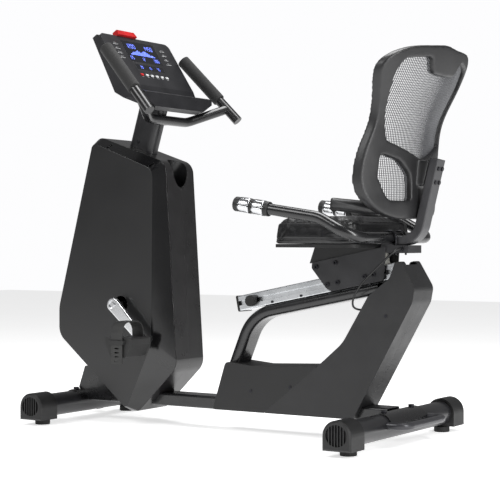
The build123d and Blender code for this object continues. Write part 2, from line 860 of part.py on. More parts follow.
# ================================================================ cranks and pedals
crank_dir = (cos(radians(crank_drop)), -sin(radians(crank_drop)))
arm_inner = 134.0
arm_outer = 150.0
pedal_x = crank_x + crank_arm_length * crank_dir[0]
pedal_z = crank_z + crank_arm_length * crank_dir[1]
pedal_inner = 168.0
pedal_outer = 268.0
pin_r = 6.0


def crank_arm(hand):
    """Arm from the axle to its pedal pin; hand is -1 on the left and 1 on the right."""
    end = (crank_x - hand * crank_arm_length * crank_dir[0], crank_z - hand * crank_arm_length * crank_dir[1])
    outward = -hand
    with BuildPart(mode=Mode.PRIVATE) as arm:
        with BuildSketch(side(front_x, hand * arm_inner)):
            with Locations((crank_x, crank_z)):
                Circle(22)
            with Locations(end):
                Circle(15)
            make_hull()
        extrude(amount=outward * (arm_outer - arm_inner))
        fillet(arm.edges().filter_by(GeomType.LINE).filter_by(Axis.Y, reverse=True), 4)
        with BuildSketch(side(front_x, hand * arm_outer)):
            with Locations((crank_x, crank_z)):
                Circle(14)
        extrude(amount=-outward * 5, mode=Mode.SUBTRACT)
        with BuildSketch(side(front_x, hand * arm_inner)):
            with Locations((crank_x, crank_z)):
                Circle(axle_r)
        extrude(amount=outward * 4, mode=Mode.SUBTRACT)
        with BuildSketch(side(front_x, hand * arm_outer)):
            with Locations((crank_x, crank_z)):
                RegularPolygon(8, 6)
        extrude(amount=-outward * 5)
        with BuildSketch(side(front_x, hand * arm_outer)):
            with Locations(end):
                Circle(pin_r)
        extrude(amount=outward * (pedal_outer - arm_outer - 6))
    return arm.part


with BuildPart() as crank_arms:
    add(crank_arm(-1))
    add(crank_arm(1))
finish(crank_arms.part, "crank_arms")


def pedal(hand):
    """Weighted platform pedal, level at rest, with a loop on its outer side for the strap."""
    x = front_x + crank_x - hand * (pedal_x - crank_x)
    z = crank_z - hand * (pedal_z - crank_z)
    middle = hand * (pedal_inner + pedal_outer) / 2
    width = pedal_outer - pedal_inner
    with BuildPart() as body:
        with BuildSketch(side(x, middle)):
            with BuildLine():
                FilletPolyline(
                    (-48, z - 6), (-50, z + 14), (50, z + 14), (48, z - 6), (30, z - 46), (-30, z - 46),
                    radius=5, close=True,
                )
            make_face()
        extrude(amount=width / 2, both=True)
        # hollow underside beside the pin, and two rows of tread slots
        with Locations((x, middle, z - 36)):
            Box(48, width - 12, 40, mode=Mode.SUBTRACT)
        with BuildSketch(Plane.XY.offset(z + 14)):
            with Locations((x, middle)):
                with GridLocations(70, 22, 2, 4):
                    SlotOverall(22, 6)
        extrude(amount=-3, mode=Mode.SUBTRACT)
        with Locations((x, hand * (pedal_outer + 5), z)):
            Box(56, 10, 12)
            Box(47, 5, 12, mode=Mode.SUBTRACT)
        with BuildSketch(side(x, middle)):
            with Locations((0, z)):
                Circle(pin_r + running_fit)
        extrude(amount=width / 2, both=True, mode=Mode.SUBTRACT)
        with Locations((x, hand * (pedal_outer - 2), z)):
            Cylinder(pin_r + 6, 4, rotation=(90, 0, 0))
    return body.part


def pedal_strap(hand):
    """Rubber strap: over the foot from the inner side, through the outer loop, tail with holes."""
    x = front_x + crank_x - hand * (pedal_x - crank_x)
    z = crank_z - hand * (pedal_z - crank_z)
    inner = hand * (pedal_inner - 2)
    outer = hand * (pedal_outer + 5)
    with BuildPart() as strap:
        with BuildSketch(Plane(origin=(x, 0, 0), x_dir=(0, 1, 0), z_dir=(1, 0, 0))):
            with BuildLine() as course:
                FilletPolyline((inner, z + 9), (inner, z + 62), (outer, z + 62), (outer, z - 66), radius=34)
            trace(course.line, 3)
        extrude(amount=21, both=True)
        with BuildSketch(side(x, outer)):
            with Locations((0, z - 38)):
                with GridLocations(1, 13, 1, 4):
                    SlotOverall(16, 5)
        extrude(amount=6, both=True, mode=Mode.SUBTRACT)
    return strap.part


for hand, place in ((-1, "left"), (1, "right")):
    finish(pedal(hand), f"pedal_{place}")
    finish(pedal_strap(hand), f"pedal_strap_{place}")

# ================================================================ seat rail
rail_sin = sin(radians(rail_slope))
rail_cos = cos(radians(rail_slope))
rail_dir = (rail_cos, 0, rail_sin)


def rail_side(y=0.0):
    """Side-view plane along the rail: local x up the slope, local y square to its top, extrudes left."""
    return Plane(origin=(rear_x + rail_front, y, rail_front_z), x_dir=rail_dir, z_dir=(0, -1, 0))


def rail_section(along):
    """Plane square to the rail: local x to the right, local y square to its top."""
    start = Vector(rear_x + rail_front, 0, rail_front_z) + Vector(*rail_dir) * along
    return Plane(origin=start, x_dir=(0, 1, 0), z_dir=rail_dir)


# Aluminium extrusion: hollow box with a deep groove down each side
with BuildPart() as seat_rail:
    with BuildSketch(rail_section(0)):
        with Locations((0, -rail_height / 2)):
            RectangleRounded(rail_width, rail_height, 3)
        with Locations((-rail_width / 2, groove_centre), (rail_width / 2, groove_centre)):
            Rectangle(2 * groove_depth, groove_height, mode=Mode.SUBTRACT)
        core_width = rail_width - 2 * groove_depth - 2 * rail_wall
        with Locations((0, -rail_height / 2)):
            Rectangle(core_width, rail_height - 2 * rail_wall, mode=Mode.SUBTRACT)
    extrude(amount=rail_length)
finish(seat_rail.part, "seat_rail")

# Front end cap of the rail and the two rubber bumpers that stop the carriage
with BuildPart() as rail_end_stops:
    with BuildSketch(rail_section(-8)):
        with Locations((0, -rail_height / 2)):
            RectangleRounded(rail_width + 4, rail_height + 4, 5)
    extrude(amount=8)
    fillet(rail_end_stops.faces().sort_by(Axis.X)[0].edges(), 3)
    for hand in (-1, 1):
        with BuildSketch(rail_side(hand * rail_width / 2)):
            with Locations((bumper_at, groove_centre)):
                Circle(bumper_r)
        extrude(amount=-hand * 16)
        with BuildSketch(rail_side(hand * rail_width / 2)):
            with Locations((bumper_at, groove_centre)):
                Circle(groove_height / 2 - 1)
        extrude(amount=hand * groove_depth)
finish(rail_end_stops.part, "rail_end_stops")

# ================================================================ rail support and rear post
support_v = -rail_height - support_thick / 2


def rail_point(u, v):
    """Side-view place given along and square to the rail, from the rear axis."""
    return (rail_front + u * rail_cos - v * rail_sin, rail_front_z + u * rail_sin + v * rail_cos)


support_end = rail_point(486, support_v)
support_knee = rail_point(37, support_v)
support_foot = (-592, beam_top + 1)
rear_post_foot = (-191, beam_top)
rear_post_head = (-11, 430)


def support_bar(grow):
    """Solid of the bent support tube, fattened by grow."""
    foot = (support_foot[0], support_foot[1])
    with BuildLine(side(rear_x), mode=Mode.PRIVATE) as course:
        FilletPolyline(foot, support_knee, support_end, radius=support_bend)
    with BuildPart(mode=Mode.PRIVATE) as bar:
        with BuildSketch(Plane(origin=course.line @ 0, x_dir=(0, 1, 0), z_dir=course.line % 0)):
            RectangleRounded(support_width + 2 * grow, support_thick + 2 * grow, support_thick / 2 + grow - 1)
        sweep(path=course.line)
    return bar.part


post_run = Vector(rear_post_head[0] - rear_post_foot[0], 0, rear_post_head[1] - rear_post_foot[1])
post_plane = Plane(
    origin=(rear_x + rear_post_foot[0], 0, rear_post_foot[1]), x_dir=(0, 1, 0), z_dir=post_run,
)
with BuildPart() as rail_support:
    add(support_bar(0))
    with BuildSketch(post_plane.offset(-40)):
        RectangleRounded(post_rear_width, post_rear_depth, 8)
    extrude(amount=post_run.length + 120)
    add(support_bar(-support_wall), mode=Mode.SUBTRACT)
    with BuildSketch(post_plane.offset(-40)):
        RectangleRounded(post_rear_width - 2 * support_wall, post_rear_depth - 2 * support_wall, 5)
    extrude(amount=post_run.length + 120, mode=Mode.SUBTRACT)
    # trim to the beam's top and the rail's underside
    with BuildSketch(side(rear_x)):
        with BuildLine():
            Polyline(
                (-700, beam_top), rail_point(-130, -rail_height), rail_point(640, -rail_height),
                (120, beam_top), close=True,
            )
        make_face()
    extrude(amount=support_width, both=True, mode=Mode.INTERSECT)
finish(rail_support.part, "rail_support")

# ================================================================ base and tower covers
seam_low = (-423, cover_base_z)
seam_high = (-236, 216)
base_points = [(-610, cover_base_z), (-562, 216), (-462, 207), seam_high, seam_low]
tower_points = [
    seam_low, seam_high, (-151, 288), (-66, 428), (4, 482), (21, 527),
    (39, 531), (85, 455), (77, 412), (-116, cover_base_z),
]
tower_radii = [2, 60, 120, 30, 20, 8, 8, 30, 40, 8]


def cover_cutouts():
    """Room in the covers for the beam, rail, support tube, collar and rear post."""
    with BuildPart(mode=Mode.PRIVATE) as room:
        with BuildSketch(rail_section(-20)):
            with Locations((0, -rail_height / 2)):
                Rectangle(rail_width + 2, rail_height + 2)
        extrude(amount=rail_length + 60)
        add(support_bar(1.0))
        with BuildSketch(post_plane.offset(-40)):
            Rectangle(post_rear_width + 2, post_rear_depth + 2)
        extrude(amount=post_run.length + 100)
        with Locations((rear_x - 400, 0, beam_z)):
            Box(800, beam_width + 2 * thin_gap, beam_height + 2 * thin_gap)
    return room.part


with BuildPart() as base_cover:
    with BuildSketch(side(rear_x)):
        with BuildLine():
            FilletPolyline(base_points, radius=[6, 14, 30, 2, 2], close=True)
        make_face()
    extrude(amount=cover_half, both=True)
    with BuildSketch(side(rear_x)):
        with BuildLine():
            FilletPolyline(
                (-602, cover_base_z - 10), (-558, 212), (-462, 204), (-230, 213), (-414, cover_base_z - 10),
                radius=[2, 10, 30, 2, 2], close=True,
            )
        make_face()
    extrude(amount=cover_half - cover_wall, both=True, mode=Mode.SUBTRACT)
    add(cover_cutouts(), mode=Mode.SUBTRACT)
finish(base_cover.part, "base_cover")

with BuildPart() as tower_cover_left:
    extrude(outline(tower_points, tower_radii, side(rear_x, -0.15)), amount=cover_half - 0.15)
    extrude(
        outline(tower_points, tower_radii, side(rear_x), cover_wall),
        amount=cover_half - cover_wall, mode=Mode.SUBTRACT,
    )
    add(cover_cutouts(), mode=Mode.SUBTRACT)
    # mouth for the sensor cable in the front wall
    with Locations((rear_x - 90, -47, 390)):
        Box(70, 22, 44, mode=Mode.SUBTRACT)
finish(tower_cover_left.part, "tower_cover_left")
mirrored(tower_cover_left.part, "tower_cover_right")

# ================================================================ seat carriage
plate_outline = [(287, 50), (283, 34), (321, -35), (335, -46), (511, -46), (537, 50)]
glide_places = [327, 362, 454, 484]
plate_outer = plate_inner + plate_thick
bracket_seat = seat_tube_z - seat_tube_r
upright_seat = bracket_seat - foot_step


with BuildPart() as seat_carriage:
    for y in (-plate_inner, plate_outer):
        with BuildSketch(rail_side(y)):
            with BuildLine():
                FilletPolyline(plate_outline, radius=[6, 8, 8, 8, 6, 4], close=True)
            make_face()
        extrude(amount=plate_thick)
    with BuildSketch(rail_side()):
        with Locations((410, carriage_top - bridge_thick / 2)):
            Rectangle(236, bridge_thick)
    extrude(amount=plate_inner, both=True)
    # rear bracket under the seat tube and the upright's foot
    with BuildSketch(side(rear_x)):
        with BuildLine():
            Polyline(
                (bracket_x, bracket_base), (bracket_rear, bracket_base),
                (bracket_rear, upright_seat), (seat_tube_x + seat_tube_r, upright_seat),
                (seat_tube_x + 12, bracket_seat), (bracket_x, bracket_seat), close=True,
            )
        make_face()
    extrude(amount=plate_inner, both=True)
    with BuildSketch(side(rear_x)):
        with Locations((seat_tube_x, seat_tube_z)):
            Circle(seat_tube_r + weld_gap)
    extrude(amount=plate_inner, both=True, mode=Mode.SUBTRACT)
    # holes for the plate bolts and the two U-bolts
    with BuildSketch(rail_side()):
        with Locations(seat_bolt_places):
            Circle(seat_bolt_r + weld_gap)
    extrude(amount=plate_outer, both=True, mode=Mode.SUBTRACT)
    for y in (-32, 32):
        for offset_x in (-hoop_r, hoop_r):
            with Locations((rear_x + seat_tube_x + offset_x, y, bracket_base)):
                Cylinder(hoop_wire + weld_gap, 80, mode=Mode.SUBTRACT)
finish(seat_carriage.part, "seat_carriage")

# Nylon glides: blocks in the side grooves and a pad over the rail's top
with BuildPart() as carriage_glides:
    for hand in (-1, 1):
        for along in glide_places:
            with BuildSketch(rail_side(hand * plate_inner)):
                with Locations((along, groove_centre)):
                    RectangleRounded(24, groove_height - 2 * glide_clear, 3)
            extrude(amount=hand * (plate_inner - rail_width / 2 + groove_depth - glide_clear))
    for along in (330, 490):
        with BuildSketch(rail_section(along)):
            with Locations((0, (carriage_top - bridge_thick + glide_clear) / 2)):
                Rectangle(rail_width - 8, carriage_top - bridge_thick - glide_clear)
        extrude(amount=14)
    with BuildSketch(rail_side()):
        with Locations(seat_bolt_places):
            Circle(seat_bolt_r + weld_gap)
    extrude(amount=plate_outer, both=True, mode=Mode.SUBTRACT)
finish(carriage_glides.part, "carriage_glides")

# ================================================================ seat
with BuildPart() as seat_base:
    with BuildSketch(Plane.XY.offset(cushion_base - pan_thick)):
        with BuildLine():
            FilletPolyline(
                (rear_x + cushion_front + 12, -cushion_half + 45),
                (rear_x + cushion_rear - 8, -cushion_half + 14),
                (rear_x + cushion_rear - 8, cushion_half - 14),
                (rear_x + cushion_front + 12, cushion_half - 45),
                radius=45, close=True,
            )
        make_face()
    extrude(amount=pan_thick)
    with BuildSketch(side(rear_x)):
        with BuildLine():
            Polyline(
                (-256, cushion_base - pan_thick), rail_point(276, carriage_top),
                rail_point(500, carriage_top), (-50, cushion_base - pan_thick), close=True,
            )
        make_face()
    extrude(amount=plate_inner, both=True)
    with BuildSketch(side(rear_x)):
        with BuildLine():
            Polyline(
                (-250, cushion_base - pan_thick), rail_point(282, carriage_top - 2),
                rail_point(520, carriage_top - 2), (-40, cushion_base - pan_thick), close=True,
            )
        make_face()
    extrude(amount=plate_inner - 4, both=True, mode=Mode.SUBTRACT)
finish(seat_base.part, "seat_base")

with BuildPart() as seat_cushion:
    with BuildSketch(Plane.XY.offset(cushion_base)):
        with BuildLine():
            FilletPolyline(
                (rear_x + cushion_front, -cushion_half + 28),
                (rear_x + cushion_rear, -cushion_half),
                (rear_x + cushion_rear, cushion_half),
                (rear_x + cushion_front, cushion_half - 28),
                radius=[75, 60, 60, 75], close=True,
            )
        make_face()
    extrude(amount=cushion_top - cushion_base)
    fillet(seat_cushion.faces().sort_by(Axis.Z)[-1].edges(), 26)
finish(seat_cushion.part, "seat_cushion")

# Seat handlebar: one tube across behind the seat and forward on both sides
with BuildLine() as seat_bar_line:
    FilletPolyline(
        (rear_x + arm_tip_x, -arm_y, arm_tip_z),
        (rear_x + arm_knee_x, -arm_y, arm_knee_z),
        (rear_x + seat_tube_x, -arm_y, seat_tube_z),
        (rear_x + seat_tube_x, arm_y, seat_tube_z),
        (rear_x + arm_knee_x, arm_y, arm_knee_z),
        (rear_x + arm_tip_x, arm_y, arm_tip_z),
        radius=[110, 62, 62, 110],
    )
with BuildPart() as seat_handlebar:
    add(tube_along(seat_bar_line.wires()[0], seat_tube_r, 2.5))
finish(seat_handlebar.part, "seat_handlebar")

# Pulse grips: sleeves with closed ends over the front of each arm
with BuildPart() as pulse_grips:
    for hand in (-1, 1):
        tip = Vector(rear_x + arm_tip_x, hand * arm_y, arm_tip_z)
        back = Vector(rear_x + arm_knee_x, hand * arm_y, arm_knee_z) - tip
        with BuildSketch(Plane(origin=tip - back.normalized() * 5, z_dir=back)):
            Circle(pulse_r)
        extrude(amount=pulse_length)
        with BuildSketch(Plane(origin=tip, z_dir=back)):
            Circle(seat_tube_r)
        extrude(amount=pulse_length, mode=Mode.SUBTRACT)
    fillet(pulse_grips.edges().filter_by(GeomType.CIRCLE).group_by(SortBy.LENGTH)[-1], 3)
finish(pulse_grips.part, "pulse_grips")

# ================================================================ backrest
with BuildLine(side(rear_x)) as upright_line:
    FilletPolyline(
        (seat_tube_x + seat_tube_r + 1, upright_seat + upright_depth / 2),
        (upright_knee_x, upright_seat + upright_depth / 2),
        (upright_top[0], upright_top[1]),
        radius=upright_bend,
    )
with BuildPart() as backrest_upright:
    with BuildSketch(Plane(origin=upright_line.line @ 0, x_dir=(0, 1, 0), z_dir=upright_line.line % 0)):
        RectangleRounded(upright_width, upright_depth, 4)
        RectangleRounded(
            upright_width - 2 * upright_wall, upright_depth - 2 * upright_wall, 2, mode=Mode.SUBTRACT,
        )
    sweep(path=upright_line.line)
finish(backrest_upright.part, "backrest_upright")

# The back is a band that curves round an upright axis in front of it.
# Its side view at the middle of the bike: distance from the rear axis, and height.
back_profile = [(50, 640), (60, 700), (60, 748), (67, 830), (79, 930), (123, 1030), (147, 1085), (171, 1180)]
wrap_angle = 42.0
wrap_plane = Plane(
    origin=(rear_x + wrap_axis, 0, 0),
    x_dir=(cos(radians(wrap_angle)), -sin(radians(wrap_angle)), 0),
    z_dir=(-sin(radians(wrap_angle)), -cos(radians(wrap_angle)), 0),
)
wrap_centre = Axis((rear_x + wrap_axis, 0, 0), (0, 0, 1))
front_plane = Plane(origin=(rear_x + wrap_axis, 0, 0), x_dir=(0, 1, 0), z_dir=(1, 0, 0))


def back_band(front, rear):
    """Curved band of the back between two distances behind its middle surface."""
    near = [(x - wrap_axis + front, z) for x, z in back_profile]
    far = [(x - wrap_axis + rear, z) for x, z in back_profile]
    with BuildPart(mode=Mode.PRIVATE) as band:
        with BuildSketch(wrap_plane):
            with BuildLine():
                low = Spline(near)
                high = Spline(far)
                Line(low @ 0, high @ 0)
                Line(low @ 1, high @ 1)
            make_face()
        revolve(axis=wrap_centre, revolution_arc=2 * wrap_angle)
    return band.part


half_back = [(0, 1140), (110, 1136), (200, 1122), (256, 1080), (243, 1024), (210, 924), (226, 858), (236, 810)]
half_back += [(216, 704), (150, 662), (0, 652)]
mirrored_back = [(-y, z) for y, z in reversed(half_back[1:-1])]
with BuildSketch(front_plane) as back_outline:
    with BuildLine():
        Spline(half_back + mirrored_back, periodic=True)
    make_face()
with BuildSketch(front_plane) as upper_window:
    with BuildLine():
        FilletPolyline(
            (0, 1060), (66, 1062), (92, 1106), (196, 1096), (212, 1052), (166, 872), (0, 822),
            (-166, 872), (-212, 1052), (-196, 1096), (-92, 1106), (-66, 1062),
            radius=[100, 30, 20, 30, 60, 14, 40, 14, 60, 30, 20, 30], close=True,
        )
    make_face()
with BuildSketch(front_plane) as lower_windows:
    for hand in (-1, 1):
        with BuildLine():
            FilletPolyline(
                (hand * 52, 704), (hand * 52, 775), (hand * 110, 818), (hand * 184, 836),
                (hand * 186, 770), (hand * 150, 704),
                radius=[10, 40, 50, 14, 40, 30], close=True,
            )
        make_face()

outline_prism = extrude(back_outline.sketch, amount=700)
upper_prism = extrude(upper_window.sketch, amount=700)
lower_prism = extrude(lower_windows.sketch, amount=700)


upright_foot_z = upright_seat + upright_depth / 2
upright_lean = (upright_top[0] - upright_knee_x) / (upright_top[1] - upright_foot_z)


def upright_front(z):
    """Distance of the upright's front face from the rear axis at a height."""
    return upright_knee_x + (z - upright_foot_z) * upright_lean - upright_depth / 2 * sqrt(1 + upright_lean**2)


with BuildPart() as backrest_frame:
    add(back_band(-back_thick / 2, back_thick / 2))
    add(outline_prism, mode=Mode.INTERSECT)
    add(upper_prism, mode=Mode.SUBTRACT)
    add(lower_prism, mode=Mode.SUBTRACT)
    # mounting block between the band and the front of the upright's head
    with BuildSketch(side(rear_x)):
        with BuildLine():
            Polyline(
                (back_profile[1][0], block_low), (upright_front(block_low) - weld_gap, block_low),
                (upright_front(block_top) - weld_gap, block_top), (back_profile[2][0], block_top), close=True,
            )
        make_face()
    extrude(amount=upright_width / 2, both=True)
    # curved roll across the foot of the back, on two lugs
    with BuildLine() as roll_line:
        ThreePointArc(
            (rear_x + roll_tip_x, -roll_half, roll_z + roll_tip_rise),
            (rear_x + roll_middle_x, 0, roll_z),
            (rear_x + roll_tip_x, roll_half, roll_z + roll_tip_rise),
        )
    add(tube_along(roll_line.wires()[0], roll_r, 0))
    for y in (-lug_y, lug_y):
        with Locations((rear_x + roll_middle_x, y, roll_z)):
            Box(lug_length, lug_size, lug_size, align=(Align.MIN, Align.CENTER, Align.CENTER))
finish(backrest_frame.part, "backrest_frame")

with BuildPart() as backrest_mesh:
    add(back_band(-mesh_thick / 2, mesh_thick / 2))
    add(upper_prism + lower_prism, mode=Mode.INTERSECT)
finish(backrest_mesh.part, "backrest_mesh")

# ================================================================ seat lock lever, right side
lever_u = 410.0
lever_v = 12.0
lever_pin_r = 5.0
lever_gap = 7.0
lever_thick = 8.0
lever_pivot = rail_point(lever_u, lever_v)
with BuildPart() as seat_lock_lever:
    with BuildSketch(side(rear_x, plate_outer + lever_gap + lever_thick)):
        with Locations(lever_pivot):
            Circle(15)
        with Locations((lever_pivot[0] - 120, lever_pivot[1] + 14)):
            Circle(9)
        make_hull()
        with Locations(lever_pivot):
            Circle(lever_pin_r + running_fit, mode=Mode.SUBTRACT)
    extrude(amount=lever_thick)
    with BuildSketch(side(rear_x, plate_outer + lever_gap)):
        with Locations((lever_pivot[0] - 120, lever_pivot[1] + 14)):
            Circle(9)
    extrude(amount=-95)
    fillet(seat_lock_lever.faces().sort_by(Axis.Y)[-1].edges(), 3)
finish(seat_lock_lever.part, "seat_lock_lever")

# ================================================================ sensor cable
cable_points = [
    (33, -50, 566), (33, -68, 566), (23, -83, 555), (-3, -86, 530), (-43, -84, 496),
    (-81, -83, 460), (-105, -80, 424), (-113, -70, 398), (-105, -54, 388), (-85, -46, 388), (-67, -43, 392),
]
cable_route = [Vector(rear_x + x, y, z) for x, y, z in cable_points]


def corner_radii(route):
    """As large an arc at each corner as its two runs allow."""
    radii = []
    for before, here, after in zip(route, route[1:], route[2:]):
        turn = (here - before).get_angle(after - here)
        shorter = min((here - before).length, (after - here).length)
        radii.append(0.45 * shorter / tan(radians(turn / 2)))
    return radii


cable_radii = corner_radii(cable_route)
with BuildLine() as cable_line:
    FilletPolyline(*cable_route, radius=cable_radii)
sensor_cable = tube_along(cable_line.wires()[0], cable_r, 0)
finish(sensor_cable, "sensor_cable")
cable_length = cable_line.wires()[0].length
print("cable radii", [round(radius, 1) for radius in cable_radii])
print("cable length", round(cable_length, 1), "volume ratio", sensor_cable.volume / (pi * cable_r**2 * cable_length))

# ================================================================ fittings on the seat
with BuildPart() as seat_fittings:
    for hand in (-1, 1):
        for u, v in seat_bolt_places:
            with BuildSketch(rail_side(hand * plate_outer)):
                with Locations((u, v)):
                    Circle(6.5)
                    RegularPolygon(3, 6, mode=Mode.SUBTRACT)
            extrude(amount=-hand * 5)
            with BuildSketch(rail_side(hand * plate_outer)):
                with Locations((u, v)):
                    Circle(seat_bolt_r)
            extrude(amount=hand * 10)
        # U-bolt over the seat tube
        with BuildLine(side(rear_x, hand * 32)) as hoop:
            FilletPolyline(
                (seat_tube_x - hoop_r, bracket_base - 6),
                (seat_tube_x - hoop_r, seat_tube_z + hoop_r),
                (seat_tube_x + hoop_r, seat_tube_z + hoop_r),
                (seat_tube_x + hoop_r, bracket_base - 6),
                radius=hoop_r - 0.5,
            )
        add(tube_along(hoop.wires()[0], hoop_wire, 0))
    # lever pivot pin, right side
    with BuildSketch(side(rear_x, plate_outer)):
        with Locations(lever_pivot):
            Circle(lever_pin_r)
    extrude(amount=-(lever_gap + lever_thick + 1))
    with BuildSketch(side(rear_x, plate_outer + lever_gap + lever_thick + 1)):
        with Locations(lever_pivot):
            Circle(lever_pin_r + 4)
    extrude(amount=-3)
    # four bolt heads on the back of the upright's head
    upright_back = Plane(
        origin=upright_line.line @ 1 - (upright_line.line % 1) * 12,
        x_dir=(0, 1, 0),
        z_dir=(upright_line.line % 1).rotate(Axis.Y, 90),
    )
    with BuildSketch(upright_back.offset(upright_depth / 2)):
        with Locations((0, -34)):
            with GridLocations(24, 40, 2, 2):
                Circle(6)
    extrude(amount=4)
    # cable gland on the left of the rear bracket
    with BuildSketch(side(rear_x, -plate_inner)):
        with Locations((cable_points[0][0], cable_points[0][2])):
            Circle(gland_r)
    extrude(amount=8)
finish(seat_fittings.part, "seat_fittings")

# ================================================================ fittings on the frame
with BuildPart() as frame_fittings:
    for x, y in ((front_x, front_bolt_y), (front_x, -front_bolt_y), (rear_x, rear_bolt_y), (rear_x, -rear_bolt_y)):
        with Locations((x, y, tube_z + saddle_out + bolt_head / 2)):
            Cylinder(bolt_head_r, bolt_head)
        with Locations((x, y, tube_z + saddle_out)):
            Cylinder(bolt_r, bolt_length, align=(Align.CENTER, Align.CENTER, Align.MAX))
    # wheel axles
    for y in (wheel_y, -wheel_y):
        with BuildSketch(side(front_x, y)):
            with Locations((-wheel_out, wheel_z)):
                Circle(stud_r)
        extrude(amount=wheel_width / 2 + fork_gap + fork_plate + 3, both=True)
    # screws: mast foot, rail sides, tower and base covers
    for hand in (-1, 1):
        with BuildSketch(side(front_x, hand * mast_width / 2)):
            with Locations((236, 910)):
                Circle(5)
        extrude(amount=-hand * 2.5)
        with BuildSketch(rail_side(hand * rail_width / 2)):
            with Locations((224, -39), (120, -39)):
                Circle(4)
        extrude(amount=-hand * 2.5)
        with BuildSketch(side(rear_x, hand * cover_half)):
            with Locations((-8, 372), (-470, 130), (-330, 150)):
                Circle(5)
        extrude(amount=-hand * 1.5)
finish(frame_fittings.part, "frame_fittings")
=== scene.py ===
"""Recumbent exercise bike: finishes, cushion, back net, display and sensor cable around the fixed frame."""

import math

import bpy
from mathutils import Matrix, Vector
from mathutils.bvhtree import BVHTree


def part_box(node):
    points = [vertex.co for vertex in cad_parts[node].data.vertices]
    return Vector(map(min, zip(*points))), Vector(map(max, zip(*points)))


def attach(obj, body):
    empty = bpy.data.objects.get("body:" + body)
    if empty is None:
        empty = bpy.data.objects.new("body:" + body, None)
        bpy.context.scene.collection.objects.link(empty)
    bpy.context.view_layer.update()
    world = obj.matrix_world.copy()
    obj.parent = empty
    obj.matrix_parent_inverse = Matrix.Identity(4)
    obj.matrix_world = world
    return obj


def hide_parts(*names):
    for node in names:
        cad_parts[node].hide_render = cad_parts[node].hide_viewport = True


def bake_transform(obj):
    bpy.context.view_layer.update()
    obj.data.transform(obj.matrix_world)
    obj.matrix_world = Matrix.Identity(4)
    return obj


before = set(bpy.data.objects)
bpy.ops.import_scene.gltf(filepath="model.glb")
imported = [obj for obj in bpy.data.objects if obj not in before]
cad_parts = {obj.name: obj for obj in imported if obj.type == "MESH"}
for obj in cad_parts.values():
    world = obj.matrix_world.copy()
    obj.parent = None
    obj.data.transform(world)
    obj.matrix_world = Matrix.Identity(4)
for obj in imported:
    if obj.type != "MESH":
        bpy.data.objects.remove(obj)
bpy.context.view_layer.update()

MM = 0.001
FRONT_X = -0.6213                 # front stabiliser axis
WHEELBASE = 1.161                 # front to rear stabiliser axis
REAR_X = FRONT_X + WHEELBASE


# ---------------------------------------------------------------- colour and nodes
def linear(code):
    """Hex sRGB to linear RGBA."""
    channels = [int(code[i:i + 2], 16) / 255 for i in (1, 3, 5)]
    return tuple(c / 12.92 if c <= 0.04045 else ((c + 0.055) / 1.055) ** 2.4 for c in channels) + (1.0,)


def put(tree, kind, settings=None, links=None, **choices):
    """Add a node: choices are its own options, settings its socket values, links what feeds its sockets."""
    node = tree.nodes.new(kind)
    for key, value in choices.items():
        setattr(node, key, value)
    for socket, value in (settings or {}).items():
        node.inputs[socket].default_value = value
    for socket, (source, output) in (links or {}).items():
        tree.links.new(source.outputs[output], node.inputs[socket])
    return node


def blank(name):
    """A new material with only its output, and object coordinates in metres."""
    material = bpy.data.materials.new(name)
    material.use_nodes = True
    tree = material.node_tree
    tree.nodes.clear()
    output = put(tree, "ShaderNodeOutputMaterial")
    coordinates = put(tree, "ShaderNodeTexCoord")
    return material, tree, output, coordinates


def surface_of(
    name, dark, light, rough, spread, grain, depth, metal=0.0, patch=60.0, stretch=(1, 1, 1),
    edge=0.8, coat=0.0, coat_rough=0.1, ior=1.5, sheen=0.0,
):
    """A finish with its grain in mm as bump, and slow patches in mm that vary its tone and gloss.

    edge is the radius in mm that rounds the light on hard corners; stretch pulls the grain out along an axis.
    """
    material, tree, output, coordinates = blank(name)
    placed = put(
        tree, "ShaderNodeMapping", {"Scale": tuple(1 / s for s in stretch)},
        {"Vector": (coordinates, "Object")},
    )
    fine = put(
        tree, "ShaderNodeTexNoise", {"Scale": 1 / (grain * MM), "Detail": 3.0, "Roughness": 0.6},
        {"Vector": (placed, 0)},
    )
    slow = put(
        tree, "ShaderNodeTexNoise", {"Scale": 1 / (patch * MM), "Detail": 4.0, "Roughness": 0.55},
        {"Vector": (coordinates, "Object")},
    )
    # a mix has its factor at 0, its numbers at 2 and 3, and its colours at 6 and 7 with their result at 2
    both = put(tree, "ShaderNodeMix", {0: 0.35}, {2: (slow, 0), 3: (fine, 0)}, data_type="FLOAT")
    tone = put(tree, "ShaderNodeMapRange", {"From Min": 0.35, "From Max": 0.65}, {"Value": (both, 0)})
    colour = put(
        tree, "ShaderNodeMix", {6: linear(dark), 7: linear(light)}, {0: (tone, 0)}, data_type="RGBA",
    )
    gloss = put(
        tree, "ShaderNodeMapRange",
        {"From Min": 0.3, "From Max": 0.7, "To Min": rough - spread, "To Max": rough + spread},
        {"Value": (slow, 0)},
    )
    rounded = put(tree, "ShaderNodeBevel", {"Radius": edge * MM}, samples=4)
    bump = put(
        tree, "ShaderNodeBump", {"Strength": 1.0, "Distance": depth * MM},
        {"Height": (fine, 0), "Normal": (rounded, 0)},
    )
    shader = put(
        tree, "ShaderNodeBsdfPrincipled",
        {
            "Metallic": metal, "IOR": ior, "Coat Weight": coat, "Coat Roughness": coat_rough,
            "Sheen Weight": sheen,
        },
        {"Base Color": (colour, 2), "Roughness": (gloss, 0), "Normal": (bump, 0)},
    )
    tree.links.new(shader.outputs[0], output.inputs[0])
    return material


# ---------------------------------------------------------------- finishes
# Polyester powder coat, baked: an even black film with orange peel about 2 mm apart and a soft gloss
powder_black = surface_of("powder_coat_black", "#111112", "#18181a", 0.28, 0.05, 2.2, 0.05, coat=0.25)
